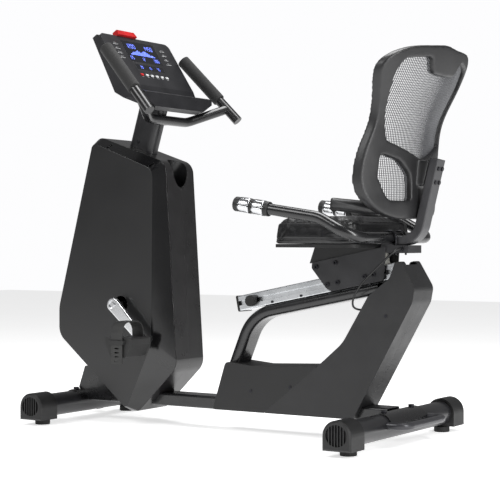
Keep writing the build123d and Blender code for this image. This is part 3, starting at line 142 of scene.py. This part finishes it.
# The same coat in charcoal on the feet tubes and mast, a little duller
powder_charcoal = surface_of("powder_coat_charcoal", "#1b1b1d", "#252527", 0.32, 0.05, 2.0, 0.05, coat=0.15)
# Grey coat on the back's upright
powder_grey = surface_of("powder_coat_grey", "#323234", "#404042", 0.36, 0.05, 2.0, 0.05)
# Carriage plates: charcoal coat over laser-cut plate
powder_plate = surface_of("powder_coat_plate", "#1f1f21", "#2a2a2c", 0.38, 0.06, 1.8, 0.05)
# ABS moulded with a fine spark-eroded texture: matt, with grain under a millimetre
abs_textured = surface_of("abs_textured_black", "#121212", "#1a1a1b", 0.50, 0.05, 0.9, 0.05)
# The same in charcoal, on the tower
abs_tower = surface_of("abs_textured_charcoal", "#19191a", "#232324", 0.44, 0.05, 0.9, 0.04)
# ABS rim of the shroud: satin, smoother than the covers
abs_rim = surface_of("abs_satin_rim", "#151415", "#1d1c1d", 0.30, 0.04, 1.4, 0.02, coat=0.2)
# Console ABS: charcoal, matt, with a fine even grain
abs_console = surface_of("abs_console", "#17171a", "#222225", 0.42, 0.05, 0.8, 0.04)
# Smooth moulded cup
abs_smooth = surface_of("abs_smooth_black", "#0e0e0f", "#171718", 0.30, 0.04, 3.0, 0.01)
# Glass-filled nylon of the pedals and pulley: slightly mottled, dull
nylon_black = surface_of("nylon_glass_filled", "#171717", "#242424", 0.50, 0.07, 0.7, 0.05)
# Unfilled nylon glides
nylon_white = surface_of("nylon_natural", "#c9c8c0", "#dad9d2", 0.42, 0.05, 1.2, 0.02)
# Back frame: glass-filled nylon, charcoal, mould texture that catches a broad soft light
nylon_back = surface_of("nylon_back_frame", "#1b1b1c", "#252526", 0.40, 0.05, 0.9, 0.04)
# Vulcanised rubber of the feet and stops
rubber_black = surface_of("rubber_vulcanised", "#121212", "#1c1c1b", 0.68, 0.08, 0.6, 0.06)
# Softer, greyer rubber of the pedal straps
rubber_strap = surface_of("rubber_strap", "#242424", "#323231", 0.55, 0.06, 0.8, 0.04)
# Nitrile foam sleeves: closed cells about 0.6 mm across show as a fine pitted skin
foam_grip = surface_of("nitrile_foam", "#131313", "#202020", 0.80, 0.06, 0.8, 0.16, sheen=0.15)
# Bright anodised extrusion: die lines run along the rail, a soft satin metal
anodised = surface_of(
    "aluminium_anodised", "#c3c6c9", "#dfe1e3", 0.26, 0.05, 0.5, 0.02, metal=1.0, stretch=(60, 1, 1),
)
# Polished aluminium crank: near mirror with faint forging waves
aluminium_polished = surface_of("aluminium_polished", "#cfd0d2", "#e6e7e8", 0.14, 0.05, 4.0, 0.02, metal=1.0)
# Stainless contact plates of the pulse grips
stainless = surface_of("stainless_polished", "#c6c7c9", "#dcdddf", 0.16, 0.04, 2.0, 0.01, metal=1.0)
# Zinc plate on brackets: pale, slightly cloudy
zinc = surface_of("zinc_plated", "#a9abae", "#c2c4c6", 0.34, 0.08, 2.5, 0.02, metal=1.0)
# Black oxide screws
black_oxide = surface_of("black_oxide_steel", "#26262a", "#37373a", 0.38, 0.06, 1.0, 0.02, metal=0.8)
# Ground bearing steel
steel_ground = surface_of("steel_ground", "#9a9b9d", "#b4b5b7", 0.28, 0.05, 0.6, 0.01, metal=1.0)
# Dark metallic coat on the lift handle
coat_handle = surface_of("powder_coat_metallic", "#38383b", "#48484b", 0.34, 0.05, 1.4, 0.04, metal=0.3)
# Machined cast iron
cast_iron = surface_of("cast_iron_machined", "#4a4b4d", "#5d5e60", 0.42, 0.08, 0.9, 0.05, metal=1.0)
# Red ABS of the tablet clip and the stop key
abs_red = surface_of("abs_red", "#a80a0c", "#c41013", 0.32, 0.04, 1.5, 0.02, coat=0.2)
# Silicone keys
silicone_pale = surface_of("silicone_pale", "#c3c4c6", "#d6d7d8", 0.50, 0.05, 0.8, 0.03)
silicone_red = surface_of("silicone_red", "#b01416", "#cc1c1e", 0.50, 0.05, 0.8, 0.03)
# PVC sheath of the sensor cable
pvc_cable = surface_of("pvc_sheath", "#141414", "#1d1d1d", 0.45, 0.05, 1.5, 0.02)
# Tinted acrylic window over the display
acrylic = surface_of(
    "acrylic_tinted", "#05060b", "#070914", 0.07, 0.02, 8.0, 0.002, coat=0.4, coat_rough=0.04,
)


def panel_finish():
    """ABS side panel: moulded satin on the flat face, and a polished bevel round it that mirrors the room."""
    material, tree, output, coordinates = blank("abs_panel_polished_bevel")
    fine = put(
        tree, "ShaderNodeTexNoise", {"Scale": 1 / (1.2 * MM), "Detail": 3.0},
        {"Vector": (coordinates, "Object")},
    )
    slow = put(
        tree, "ShaderNodeTexNoise", {"Scale": 1 / (180 * MM), "Detail": 2.0},
        {"Vector": (coordinates, "Object")},
    )
    facing = put(tree, "ShaderNodeNewGeometry")
    parts = put(tree, "ShaderNodeSeparateXYZ", {}, {"Vector": (facing, "True Normal")})
    sideways = put(tree, "ShaderNodeMath", {}, {0: (parts, "Y")}, operation="ABSOLUTE")
    flat = put(
        tree, "ShaderNodeMapRange", {"From Min": 0.93, "From Max": 0.98}, {"Value": (sideways, 0)},
    )
    gloss = put(
        tree, "ShaderNodeMapRange", {"To Min": 0.13, "To Max": 0.40}, {"Value": (flat, 0)},
    )
    varied = put(
        tree, "ShaderNodeMapRange", {"From Min": 0.3, "From Max": 0.7, "To Min": -0.03, "To Max": 0.03},
        {"Value": (slow, 0)},
    )
    rough = put(tree, "ShaderNodeMath", {}, {0: (gloss, 0), 1: (varied, 0)}, operation="ADD")
    colour = put(
        tree, "ShaderNodeMix", {6: linear("#0b0b0c"), 7: linear("#111112")}, {0: (slow, 0)}, data_type="RGBA",
    )
    rounded = put(tree, "ShaderNodeBevel", {"Radius": 2 * MM}, samples=4)
    bump = put(
        tree, "ShaderNodeBump", {"Strength": 0.6, "Distance": 0.015 * MM},
        {"Height": (fine, 0), "Normal": (rounded, 0)},
    )
    shader = put(
        tree, "ShaderNodeBsdfPrincipled", {"IOR": 1.53, "Coat Weight": 0.3, "Coat Roughness": 0.12},
        {"Base Color": (colour, 2), "Roughness": (rough, 0), "Normal": (bump, 0)},
    )
    tree.links.new(shader.outputs[0], output.inputs[0])
    return material


def vinyl_finish():
    """Vinyl upholstery: calendered leather grain, cells about 1.6 mm across with a soft low gloss."""
    material, tree, output, coordinates = blank("vinyl_upholstery")
    cells = put(
        tree, "ShaderNodeTexVoronoi", {"Scale": 1 / (1.6 * MM), "Randomness": 0.9},
        {"Vector": (coordinates, "Object")}, feature="DISTANCE_TO_EDGE",
    )
    pores = put(tree, "ShaderNodeMapRange", {"From Min": 0.0, "From Max": 0.25}, {"Value": (cells, 0)})
    slow = put(
        tree, "ShaderNodeTexNoise", {"Scale": 1 / (45 * MM), "Detail": 4.0},
        {"Vector": (coordinates, "Object")},
    )
    colour = put(
        tree, "ShaderNodeMix", {6: linear("#0d0d0e"), 7: linear("#161618")}, {0: (slow, 0)}, data_type="RGBA",
    )
    gloss = put(
        tree, "ShaderNodeMapRange", {"From Min": 0.3, "From Max": 0.7, "To Min": 0.36, "To Max": 0.48},
        {"Value": (slow, 0)},
    )
    bump = put(
        tree, "ShaderNodeBump", {"Strength": 0.7, "Distance": 0.12 * MM}, {"Height": (pores, 0)},
    )
    shader = put(
        tree, "ShaderNodeBsdfPrincipled", {"IOR": 1.5, "Coat Weight": 0.1, "Coat Roughness": 0.3},
        {"Base Color": (colour, 2), "Roughness": (gloss, 0), "Normal": (bump, 0)},
    )
    tree.links.new(shader.outputs[0], output.inputs[0])
    return material


def light_finish(name, code, strength):
    """Back-lit legend: a plain glowing colour with a slight unevenness from its diodes, about 9 mm apart."""
    material, tree, output, coordinates = blank(name)
    uneven = put(
        tree, "ShaderNodeTexNoise", {"Scale": 1 / (9 * MM), "Detail": 1.0},
        {"Vector": (coordinates, "Object")},
    )
    colour = put(
        tree, "ShaderNodeMix", {6: linear(code), 7: linear("#9fb0ff")}, {0: (uneven, 0)}, data_type="RGBA",
    )
    shader = put(
        tree, "ShaderNodeBsdfPrincipled",
        {"Base Color": linear(code), "Roughness": 0.4, "Emission Strength": strength},
        {"Emission Color": (colour, 2)},
    )
    tree.links.new(shader.outputs[0], output.inputs[0])
    return material


abs_panel = panel_finish()
vinyl = vinyl_finish()
# Polyester mono-filament net: dark grey ribs with a slight silk
polyester_net = surface_of("polyester_net", "#3c3d40", "#525356", 0.48, 0.06, 1.2, 0.03, sheen=0.15)
display_blue = light_finish("display_blue", "#3a55e0", 1.6)

FINISHES = {
    powder_black: [
        "main_beam", "drive_frame", "handlebar", "seat_handlebar", "rail_support", "seat_lock_lever",
    ],
    powder_charcoal: ["front_stabiliser", "rear_stabiliser", "mast"],
    powder_grey: ["backrest_upright"],
    powder_plate: ["seat_carriage"],
    coat_handle: ["lift_handle"],
    abs_textured: ["stabiliser_end_caps", "base_cover", "seat_base", "pulse_grips"],
    abs_tower: ["tower_cover_left", "tower_cover_right"],
    abs_rim: ["shroud_left", "shroud_right"],
    abs_panel: ["side_panel_left", "side_panel_right"],
    abs_console: ["console_housing", "console_face"],
    abs_smooth: ["bottle_pocket"],
    abs_red: ["tablet_clip"],
    nylon_black: [
        "pedal_left", "pedal_right", "drive_pulley", "transport_wheel_left", "transport_wheel_right",
    ],
    nylon_white: ["carriage_glides"],
    nylon_back: ["backrest_frame"],
    rubber_black: [
        "levelling_foot_front_left", "levelling_foot_front_right", "levelling_foot_rear_left",
        "levelling_foot_rear_right", "rail_end_stops", "drive_belt",
    ],
    rubber_strap: ["pedal_strap_left", "pedal_strap_right"],
    foam_grip: ["handlebar_grips"],
    anodised: ["seat_rail"],
    aluminium_polished: ["crank_arms"],
    black_oxide: ["seat_fittings", "frame_fittings"],
    steel_ground: ["crank_axle", "crank_bearings"],
    zinc: ["magnet_brake"],
    cast_iron: ["flywheel"],
    acrylic: ["display_window"],
    silicone_red: ["console_key_1"],
    silicone_pale: [f"console_key_{number}" for number in range(2, 7)],
    pvc_cable: ["sensor_cable"],
    polyester_net: ["backrest_mesh"],
    vinyl: ["seat_cushion"],
}
for finish, names in FINISHES.items():
    for name in names:
        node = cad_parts[name]
        node.data.materials.clear()
        node.data.materials.append(finish)


# ---------------------------------------------------------------- making meshes
def mesh_piece(name, points, faces, material, smooth=True):
    """A mesh object from points in metres and faces."""
    mesh = bpy.data.meshes.new(name)
    mesh.from_pydata([tuple(p) for p in points], [], faces)
    mesh.validate()
    piece = bpy.data.objects.new(name, mesh)
    bpy.context.scene.collection.objects.link(piece)
    mesh.materials.append(material)
    for face in mesh.polygons:
        face.use_smooth = smooth
    return piece


def curve_piece(name, points, radius, material, closed=False, sides=3):
    """A round cord or piping along a poly line."""
    curve = bpy.data.curves.new(name, "CURVE")
    curve.dimensions = "3D"
    curve.bevel_depth = radius
    curve.bevel_resolution = sides
    curve.use_fill_caps = True
    line = curve.splines.new("POLY")
    line.points.add(len(points) - 1)
    for point, place in zip(line.points, points):
        point.co = (*place, 1.0)
    line.use_cyclic_u = closed
    piece = bpy.data.objects.new(name, curve)
    bpy.context.scene.collection.objects.link(piece)
    curve.materials.append(material)
    return piece


def surface_tree(piece):
    """Ray-casting tree of a shown piece, modifiers included."""
    bpy.context.view_layer.update()
    return BVHTree.FromObject(piece, bpy.context.evaluated_depsgraph_get())


def settle(piece):
    """Apply a piece's modifiers to its mesh."""
    done = bpy.data.meshes.new_from_object(piece.evaluated_get(bpy.context.evaluated_depsgraph_get()))
    old = piece.data
    piece.modifiers.clear()
    piece.data = done
    bpy.data.meshes.remove(old)


# ---------------------------------------------------------------- sensor cable
CABLE_POINTS = [
    (33, -50, 566), (33, -68, 566), (23, -83, 555), (-3, -86, 530), (-43, -84, 496), (-81, -83, 460),
    (-105, -80, 424), (-113, -70, 398), (-105, -54, 388), (-85, -46, 388), (-67, -43, 392),
]
CABLE_DIAMETER = 0.006
cable_path = [Vector((REAR_X + x * MM, y * MM, z * MM)) for x, y, z in CABLE_POINTS]
cable_curve = bpy.data.curves.new("sensor_lead_line", "CURVE")
cable_curve.dimensions = "3D"
cable_curve.resolution_u = 12
run = cable_curve.splines.new("NURBS")
run.points.add(len(cable_path) - 1)
for point, place in zip(run.points, cable_path):
    point.co = (*place, 1.0)
run.order_u = 3
run.use_endpoint_u = True
cable_line = bpy.data.objects.new("sensor_lead_line", cable_curve)
bpy.context.scene.collection.objects.link(cable_line)
bpy.context.view_layer.update()
smooth_path = [v.co.copy() for v in bpy.data.meshes.new_from_object(cable_line).vertices]
# the round sheath is made as a mesh on the same spline
cable_curve.bevel_depth = CABLE_DIAMETER / 2
cable_curve.bevel_resolution = 4
cable_curve.use_fill_caps = True
cable = bpy.data.objects.new("sensor_lead", bpy.data.meshes.new_from_object(cable_line))
bpy.context.scene.collection.objects.link(cable)
bpy.data.objects.remove(cable_line)
cable.data.materials.clear()
cable.data.materials.append(pvc_cable)
for face in cable.data.polygons:
    face.use_smooth = True
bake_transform(cable)
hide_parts("sensor_cable")

# ---------------------------------------------------------------- seat cushion
low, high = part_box("seat_cushion")
SEAM_Z = high.z - 0.020
START_INSET = 0.007
SWELL_LIMIT = 0.010
SWELL_PRESSURE = 4.0
SWELL_FRAMES = 20
BOARD_HEIGHT = 0.010              # the lowest centimetre is stapled to its board
FRONT_HALF = 0.177
REAR_HALF = 0.205
FRONT_CORNER = 0.075
REAR_CORNER = 0.060
LOWER_SEAM_Z = low.z + 0.014
LANE_Y = 0.085                    # sewn channels, from the middle
LANE_HALF = 0.009
LANE_DEPTH = 0.0035


def cushion_outline(inset, count=16):
    """Rounded trapezoid seen from above, wider at the back."""
    corners = [
        (low.x, -FRONT_HALF, FRONT_CORNER), (high.x, -REAR_HALF, REAR_CORNER),
        (high.x, REAR_HALF, REAR_CORNER), (low.x, FRONT_HALF, FRONT_CORNER),
    ]
    centre_x = (low.x + high.x) / 2
    points = []
    for index, (x, y, radius) in enumerate(corners):
        x += inset if x < centre_x else -inset
        y += inset if y < 0 else -inset
        radius = radius - inset
        turn = math.radians((180, 270, 0, 90)[index])
        cx = x + radius if x < centre_x else x - radius
        cy = y + radius if y < 0 else y - radius
        for step in range(count + 1):
            angle = turn + math.radians(90) * step / count
            points.append((cx + radius * math.cos(angle), cy + radius * math.sin(angle)))
    return points


def cushion_form():
    """Closed start form: straight sides up to the seam, then a crowned top."""
    levels = (
        (0.010, low.z + 0.001), (START_INSET, low.z + 0.004), (START_INSET, SEAM_Z - 0.012),
        (START_INSET + 0.001, SEAM_Z - 0.003), (START_INSET + 0.006, SEAM_Z + 0.002), (0.030, SEAM_Z + 0.007),
    )
    rings = [[(x, y, z) for x, y in cushion_outline(inset)] for inset, z in levels]
    count = len(rings[0])
    points = [p for ring in rings for p in ring]
    faces = []
    for level in range(len(rings) - 1):
        for step in range(count):
            after = (step + 1) % count
            low_ring, high_ring = level * count, (level + 1) * count
            faces.append((low_ring + step, low_ring + after, high_ring + after, high_ring + step))
    faces.append(tuple(reversed(range(count))))
    faces.append(tuple((len(rings) - 1) * count + step for step in range(count)))
    return points, faces


cushion = mesh_piece("seat_pad", *cushion_form(), vinyl)
remesh = cushion.modifiers.new("even", "REMESH")
remesh.mode = "VOXEL"
remesh.voxel_size = 0.005
settle(cushion)
cushion.data.materials.clear()
cushion.data.materials.append(vinyl)
before = [v.co.copy() for v in cushion.data.vertices]
held = cushion.vertex_groups.new(name="board")
held.add([v.index for v in cushion.data.vertices if v.co.z < low.z + BOARD_HEIGHT], 1.0, "REPLACE")
cloth = cushion.modifiers.new("swell", "CLOTH")
cloth.settings.use_pressure = True
cloth.settings.uniform_pressure_force = SWELL_PRESSURE
cloth.settings.vertex_group_mass = "board"
cloth.settings.effector_weights.gravity = 0.0
cloth.settings.quality = 5
scene = bpy.context.scene
for step in range(1, SWELL_FRAMES + 1):
    scene.frame_set(step)
swollen = cushion.evaluated_get(bpy.context.evaluated_depsgraph_get()).to_mesh()
moved = [v.co.copy() for v in swollen.vertices]
cushion.modifiers.clear()
for vertex, start, end in zip(cushion.data.vertices, before, moved):
    push = end - start
    if push.length > SWELL_LIMIT:
        push *= SWELL_LIMIT / push.length
    vertex.co = start + push
scene.frame_set(1)
# the underside lies flat on its board, and the pad keeps to its own space
for vertex in cushion.data.vertices:
    vertex.co.z = max(low.z + 0.0005, min(high.z + 0.006, vertex.co.z))
    vertex.co.x = max(low.x - 0.004, min(high.x + 0.003, vertex.co.x))
finer = cushion.modifiers.new("finer", "SUBSURF")
finer.levels = finer.render_levels = 1
settle(cushion)
for face in cushion.data.polygons:
    face.use_smooth = True


def press_seam(piece, line_z, width, depth):
    """Draw a pad's side in along a level seam."""
    middle = Vector(((low.x + high.x) / 2, 0, 0))
    for vertex in piece.data.vertices:
        away = abs(vertex.co.z - line_z)
        if away < width and vertex.normal.z < 0.8:
            inward = Vector((middle.x - vertex.co.x, -vertex.co.y, 0))
            inward.normalize()
            vertex.co += inward * depth * (math.cos(math.pi * away / width) + 1) / 2


press_seam(cushion, SEAM_Z, 0.007, 0.003)
press_seam(cushion, LOWER_SEAM_Z, 0.006, 0.002)
# two front-to-back channels, pressed into the top
for vertex in cushion.data.vertices:
    if vertex.normal.z > 0.5 and vertex.co.z > SEAM_Z:
        for lane in (-LANE_Y, LANE_Y):
            away = abs(vertex.co.y - lane)
            if away < LANE_HALF:
                vertex.co.z -= LANE_DEPTH * (math.cos(math.pi * away / LANE_HALF) + 1) / 2
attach(cushion, "seat")
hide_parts("seat_cushion")


def round_pad(line_z, count=120):
    """Points round the pad's side at a height, found by looking in from outside."""
    tree = surface_tree(cushion)
    middle = Vector(((low.x + high.x) / 2, 0, line_z))
    found = []
    for step in range(count):
        angle = 2 * math.pi * step / count
        away = Vector((math.cos(angle), math.sin(angle), 0))
        place, _, _, _ = tree.ray_cast(middle + away * 0.5, -away)
        if place:
            found.append(place)
    return found


for number, seam in enumerate((SEAM_Z, LOWER_SEAM_Z)):
    piping = curve_piece(f"seat_piping_{number + 1}", round_pad(seam), 0.0018, vinyl, closed=True)
    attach(piping, "seat")

# ---------------------------------------------------------------- back net
NET_PITCH = 0.0065                # ribs are about 6.5 mm apart
RIB_WIDTH = 0.0030
RIB_THICK = 0.0012
THREAD_WIDTH = 0.0013
net_low, net_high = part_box("backrest_mesh")
net_tree = surface_tree(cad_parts["backrest_mesh"])
WRAP_X = REAR_X - 0.361


def net_point(y, z):
    """Point on the net's front face at a place seen from the front, or None in the frame's solid parts."""
    place, _, _, _ = net_tree.ray_cast(Vector((WRAP_X, y, z)), Vector((1, 0, 0)), 1.0)
    return place


def strips(lines, width, thick):
    """Flat ribs along lines: each is (points, direction across)."""
    points, faces = [], []
    for line, across in lines:
        base = len(points)
        for index, here in enumerate(line):
            ahead = line[min(index + 1, len(line) - 1)] - line[max(index - 1, 0)]
            normal = ahead.cross(across).normalized()
            wide = normal.cross(ahead).normalized()
            for u, v in ((-1, -1), (1, -1), (1, 1), (-1, 1)):
                points.append(here + wide * (u * width / 2) + normal * (v * thick / 2))
        for index in range(len(line) - 1):
            a, b = base + 4 * index, base + 4 * (index + 1)
            for side in range(4):
                after = (side + 1) % 4
                faces.append((a + side, a + after, b + after, b + side))
        faces.append((base + 3, base + 2, base + 1, base))
        last = base + 4 * (len(line) - 1)
        faces.append((last, last + 1, last + 2, last + 3))
    return points, faces


def traced(fixed, along, upright):
    """Unbroken runs of net points along one line, each drawn out a little into the frame at its ends."""
    runs, current = [], []
    for value in along:
        place = net_point(fixed, value) if upright else net_point(value, fixed)
        if place:
            current.append(place)
        elif current:
            runs.append(current)
            current = []
    if current:
        runs.append(current)
    longer = []
    for line in runs:
        if len(line) > 2:
            head = line[0] + (line[0] - line[1]).normalized() * 0.005
            tail = line[-1] + (line[-1] - line[-2]).normalized() * 0.005
            longer.append([head] + line + [tail])
    return longer


def span(start, stop, step):
    """Evenly spaced values from start to stop."""
    count = int((stop - start) / step)
    return [start + step * index for index in range(count + 1)]


heights = span(net_low.z + 0.001, net_high.z - 0.001, 0.006)
widths = span(net_low.y + 0.001, net_high.y - 0.001, 0.006)
ribs = []
for y in span(net_low.y + 0.004, net_high.y - 0.003, NET_PITCH):
    ribs += [(line, Vector((0, 1, 0))) for line in traced(y, heights, True)]
threads = []
for z in span(net_low.z + 0.004, net_high.z - 0.003, NET_PITCH):
    threads += [(line, Vector((0, 0, 1))) for line in traced(z, widths, False)]
rib_points, rib_faces = strips(ribs, RIB_WIDTH, RIB_THICK)
thread_points, thread_faces = strips(threads, THREAD_WIDTH, RIB_THICK * 0.8)
offset = len(rib_points)
net = mesh_piece(
    "back_net", rib_points + thread_points,
    rib_faces + [tuple(i + offset for i in face) for face in thread_faces], polyester_net, smooth=False,
)
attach(net, "seat")
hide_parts("backrest_mesh")

# ---------------------------------------------------------------- back frame with moulded edges
SOFT_VOXEL = 0.0035
shell = bpy.data.objects.new("back_shell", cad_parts["backrest_frame"].data.copy())
bpy.context.scene.collection.objects.link(shell)
shell.data.materials.clear()
shell.data.materials.append(nylon_back)
even = shell.modifiers.new("even", "REMESH")
even.mode = "VOXEL"
even.voxel_size = SOFT_VOXEL
even.use_smooth_shade = True
soften = shell.modifiers.new("soften", "SMOOTH")
soften.factor = 0.5
soften.iterations = 12
settle(shell)
shell.data.materials.clear()
shell.data.materials.append(nylon_back)
for face in shell.data.polygons:
    face.use_smooth = True
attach(shell, "seat")
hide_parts("backrest_frame")

# ---------------------------------------------------------------- pulse grips: contact plates
ARM_TIP = Vector((REAR_X - 0.396, 0.250, 0.697))
ARM_KNEE = Vector((REAR_X - 0.121, 0.250, 0.656))
GRIP_R = 0.0215


def sleeve(name, axis_start, axis_dir, start, end, radius, thick, first, last, material):
    """Bent plate round a grip: a part of a thick-walled tube between two angles, with rounded rims."""
    side = Vector((0, 1, 0))
    up = side.cross(axis_dir).normalized()
    side = axis_dir.cross(up).normalized()
    rings, steps = 7, 26
    points, faces = [], []
    for layer in (0, 1):
        for ring in range(rings):
            share = ring / (rings - 1)
            along = start + (end - start) * share
            rim = 0.0006 if layer and ring in (0, rings - 1) else 0.0
            r = radius + thick * layer - rim
            for step in range(steps + 1):
                angle = math.radians(first + (last - first) * step / steps)
                across = up * (r * math.sin(angle)) + side * (r * math.cos(angle))
                points.append(axis_start + axis_dir * along + across)
    row = steps + 1
    half = rings * row
    for ring in range(rings - 1):
        for step in range(steps):
            a = ring * row + step
            faces.append((a, a + row, a + row + 1, a + 1))
            faces.append((half + a, half + a + 1, half + a + row + 1, half + a + row))
    for ring in range(rings - 1):
        for step, flip in ((0, False), (steps, True)):
            a, b = ring * row + step, (ring + 1) * row + step
            quad = (a, half + a, half + b, b)
            faces.append(tuple(reversed(quad)) if flip else quad)
    for step in range(steps):
        a = step
        faces.append((a, a + 1, half + a + 1, half + a))
        a = (rings - 1) * row + step
        faces.append((a, half + a, half + a + 1, a + 1))
    return mesh_piece(name, points, faces, material)


for hand, word in ((-1, "left"), (1, "right")):
    tip = Vector((ARM_TIP.x, hand * ARM_TIP.y, ARM_TIP.z))
    knee = Vector((ARM_KNEE.x, hand * ARM_KNEE.y, ARM_KNEE.z))
    forward = (knee - tip).normalized()
    for part, (start, end) in enumerate(((0.012, 0.050), (0.060, 0.098))):
        for half, (first, last) in enumerate(((4, 176), (184, 356))):
            plate = sleeve(
                f"pulse_plate_{word}_{part + 1}{half + 1}", tip, forward, start, end, GRIP_R + 0.0001, 0.0012,
                first, last, stainless,
            )
            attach(plate, "seat")

# ---------------------------------------------------------------- display and legends
TILT = math.radians(33)
CONSOLE_ORIGIN = Vector((FRONT_X + 0.308, 0, 1.083))
CONSOLE_UP = Vector((-math.sin(TILT), 0, math.cos(TILT)))
CONSOLE_OUT = Vector((math.cos(TILT), 0, math.sin(TILT)))
CONSOLE_ACROSS = Vector((0, 1, 0))
SEGMENTS = {
    "0": "abcdef", "1": "bc", "2": "abged", "3": "abgcd", "4": "fgbc", "5": "afgcd", "6": "afgedc",
    "7": "abc", "8": "abcdefg", "9": "abfgcd",
}


def on_console(across, up, out):
    """Point on the console's face, in metres from the middle of its lower edge."""
    return CONSOLE_ORIGIN + CONSOLE_ACROSS * across + CONSOLE_UP * up + CONSOLE_OUT * out


def bars_piece(name, bars, material, height=0.0004):
    """Low raised bars on the display: each is (across, up, width, height) of its box."""
    points, faces = [], []
    for across, up, wide, tall in bars:
        base = len(points)
        for out, shrink in ((0.0, 0.0), (height, 0.0002)):
            for u, v in ((-1, -1), (1, -1), (1, 1), (-1, 1)):
                points.append(on_console(across + u * (wide / 2 - shrink), up + v * (tall / 2 - shrink), out))
        faces.append((base + 4, base + 5, base + 6, base + 7))
        for side in range(4):
            after = (side + 1) % 4
            faces.append((base + side, base + after, base + 4 + after, base + 4 + side))
        faces.append((base + 3, base + 2, base + 1, base))
    return mesh_piece(name, points, faces, material, smooth=False)


def digit(figure, across, up, tall):
    """Seven-segment figure as bars."""
    wide, bar = tall * 0.5, tall * 0.11
    places = {
        "a": (0, tall / 2, wide, bar), "g": (0, 0, wide, bar), "d": (0, -tall / 2, wide, bar),
        "b": (wide / 2, tall / 4, bar, tall / 2), "c": (wide / 2, -tall / 4, bar, tall / 2),
        "f": (-wide / 2, tall / 4, bar, tall / 2), "e": (-wide / 2, -tall / 4, bar, tall / 2),
    }
    return [
        (across + places[s][0], up + places[s][1], places[s][2] * 0.86, places[s][3] * 0.86)
        for s in SEGMENTS[figure]
    ]


blue_bars = []
for text, left, up, tall in (
    ("1200", -0.066, 0.160, 0.016), ("1450", 0.026, 0.160, 0.016), ("05", -0.074, 0.112, 0.012),
    ("086", 0.052, 0.112, 0.012), ("12", -0.015, 0.112, 0.012),
):
    for place, figure in enumerate(text):
        blue_bars += digit(figure, left + place * tall * 0.78, up, tall)
# programme profile: columns of different heights across the middle of the display
for column, rows in enumerate((1, 2, 3, 3, 4, 5, 4, 3, 4, 5, 5, 4, 3, 2, 2, 1)):
    for row in range(rows):
        blue_bars.append((-0.062 + column * 0.0082, 0.127 + row * 0.0042, 0.0064, 0.003))
strip_bars = []
for group, text in enumerate(("30", "15", "75")):
    for place, figure in enumerate(text):
        strip_bars += digit(figure, -0.050 + group * 0.045 + place * 0.0085, 0.076, 0.010)
for name, bars, finish in (
    ("display_figures", blue_bars, display_blue), ("display_strip_figures", strip_bars, display_blue),
):
    piece = bars_piece(name, bars, finish)
    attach(piece, "frame")
legends = []
for key in range(6):
    across = (key - 2.5) * 0.027
    legends.append((across, 0.0365, 0.010, 0.0012))
for side in (-1, 1):
    for row in range(4):
        legends.append((side * 0.125, 0.105 + row * 0.018, 0.026, 0.0016))
        legends.append((side * 0.125, 0.110 + row * 0.018, 0.016, 0.0010))
marks = bars_piece("key_legends", legends, silicone_pale, height=0.0003)
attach(marks, "frame")

# ---------------------------------------------------------------- stage, light and camera
# Painted white cove: dead matt, and lit through from below so that it goes on white to the back wall
cove = surface_of("studio_floor", "#fbfbfb", "#ffffff", 0.85, 0.05, 400.0, 0.01, edge=0.1, patch=900.0)
cove_shader = next(node for node in cove.node_tree.nodes if node.type == "BSDF_PRINCIPLED")
cove_shader.inputs["Emission Color"].default_value = linear("#ffffff")
cove_shader.inputs["Emission Strength"].default_value = 0.6
FLOOR_HALF = 9.0
floor = mesh_piece(
    "studio_floor", [(x * FLOOR_HALF, y * FLOOR_HALF, 0) for x, y in ((-1, -1), (1, -1), (1, 1), (-1, 1))],
    [(0, 1, 2, 3)], cove,
)
world = bpy.data.worlds.new("studio")
bpy.context.scene.world = world
world.use_nodes = True
# the room's white walls as the eye sees them, and dimmer as they light and mirror in the black parts
sky = world.node_tree
looked_at = put(sky, "ShaderNodeLightPath")
strength = put(
    sky, "ShaderNodeMapRange", {"To Min": 0.22, "To Max": 1.0}, {"Value": (looked_at, "Is Camera Ray")},
)
walls = sky.nodes["Background"]
walls.inputs["Color"].default_value = linear("#fdfdfe")
sky.links.new(strength.outputs[0], walls.inputs["Strength"])
bpy.context.scene.view_settings.view_transform = "Standard"


def soft_light(name, place, target, power, wide, tall):
    """Rectangular studio light aimed at a point."""
    lamp = bpy.data.lights.new(name, "AREA")
    lamp.shape = "RECTANGLE"
    lamp.size, lamp.size_y, lamp.energy = wide, tall, power
    holder = bpy.data.objects.new(name, lamp)
    bpy.context.scene.collection.objects.link(holder)
    holder.location = place
    holder.rotation_euler = (Vector(target) - Vector(place)).to_track_quat("-Z", "Y").to_euler()
    return holder


soft_light("key_light", (-1.2, -3.2, 3.2), (0, 0, 0.6), 60, 2.0, 1.4)
soft_light("rear_strip", (2.9, -0.9, 1.6), (0, 0, 0.7), 60, 0.35, 2.6)
soft_light("top_light", (0.2, 0.4, 3.4), (0, 0, 0.5), 75, 2.4, 1.2)

LENS = 105.7
camera_data = bpy.data.cameras.new("camera")
camera_data.lens = LENS
camera_data.sensor_width = 36.0
camera_data.clip_end = 60.0
camera = bpy.data.objects.new("camera", camera_data)
bpy.context.scene.collection.objects.link(camera)
camera.location = (FRONT_X + 3.0985, -3.8413, 0.5970)
camera.rotation_euler = (math.radians(89.54), 0, math.radians(32.52))
bpy.context.scene.camera = camera
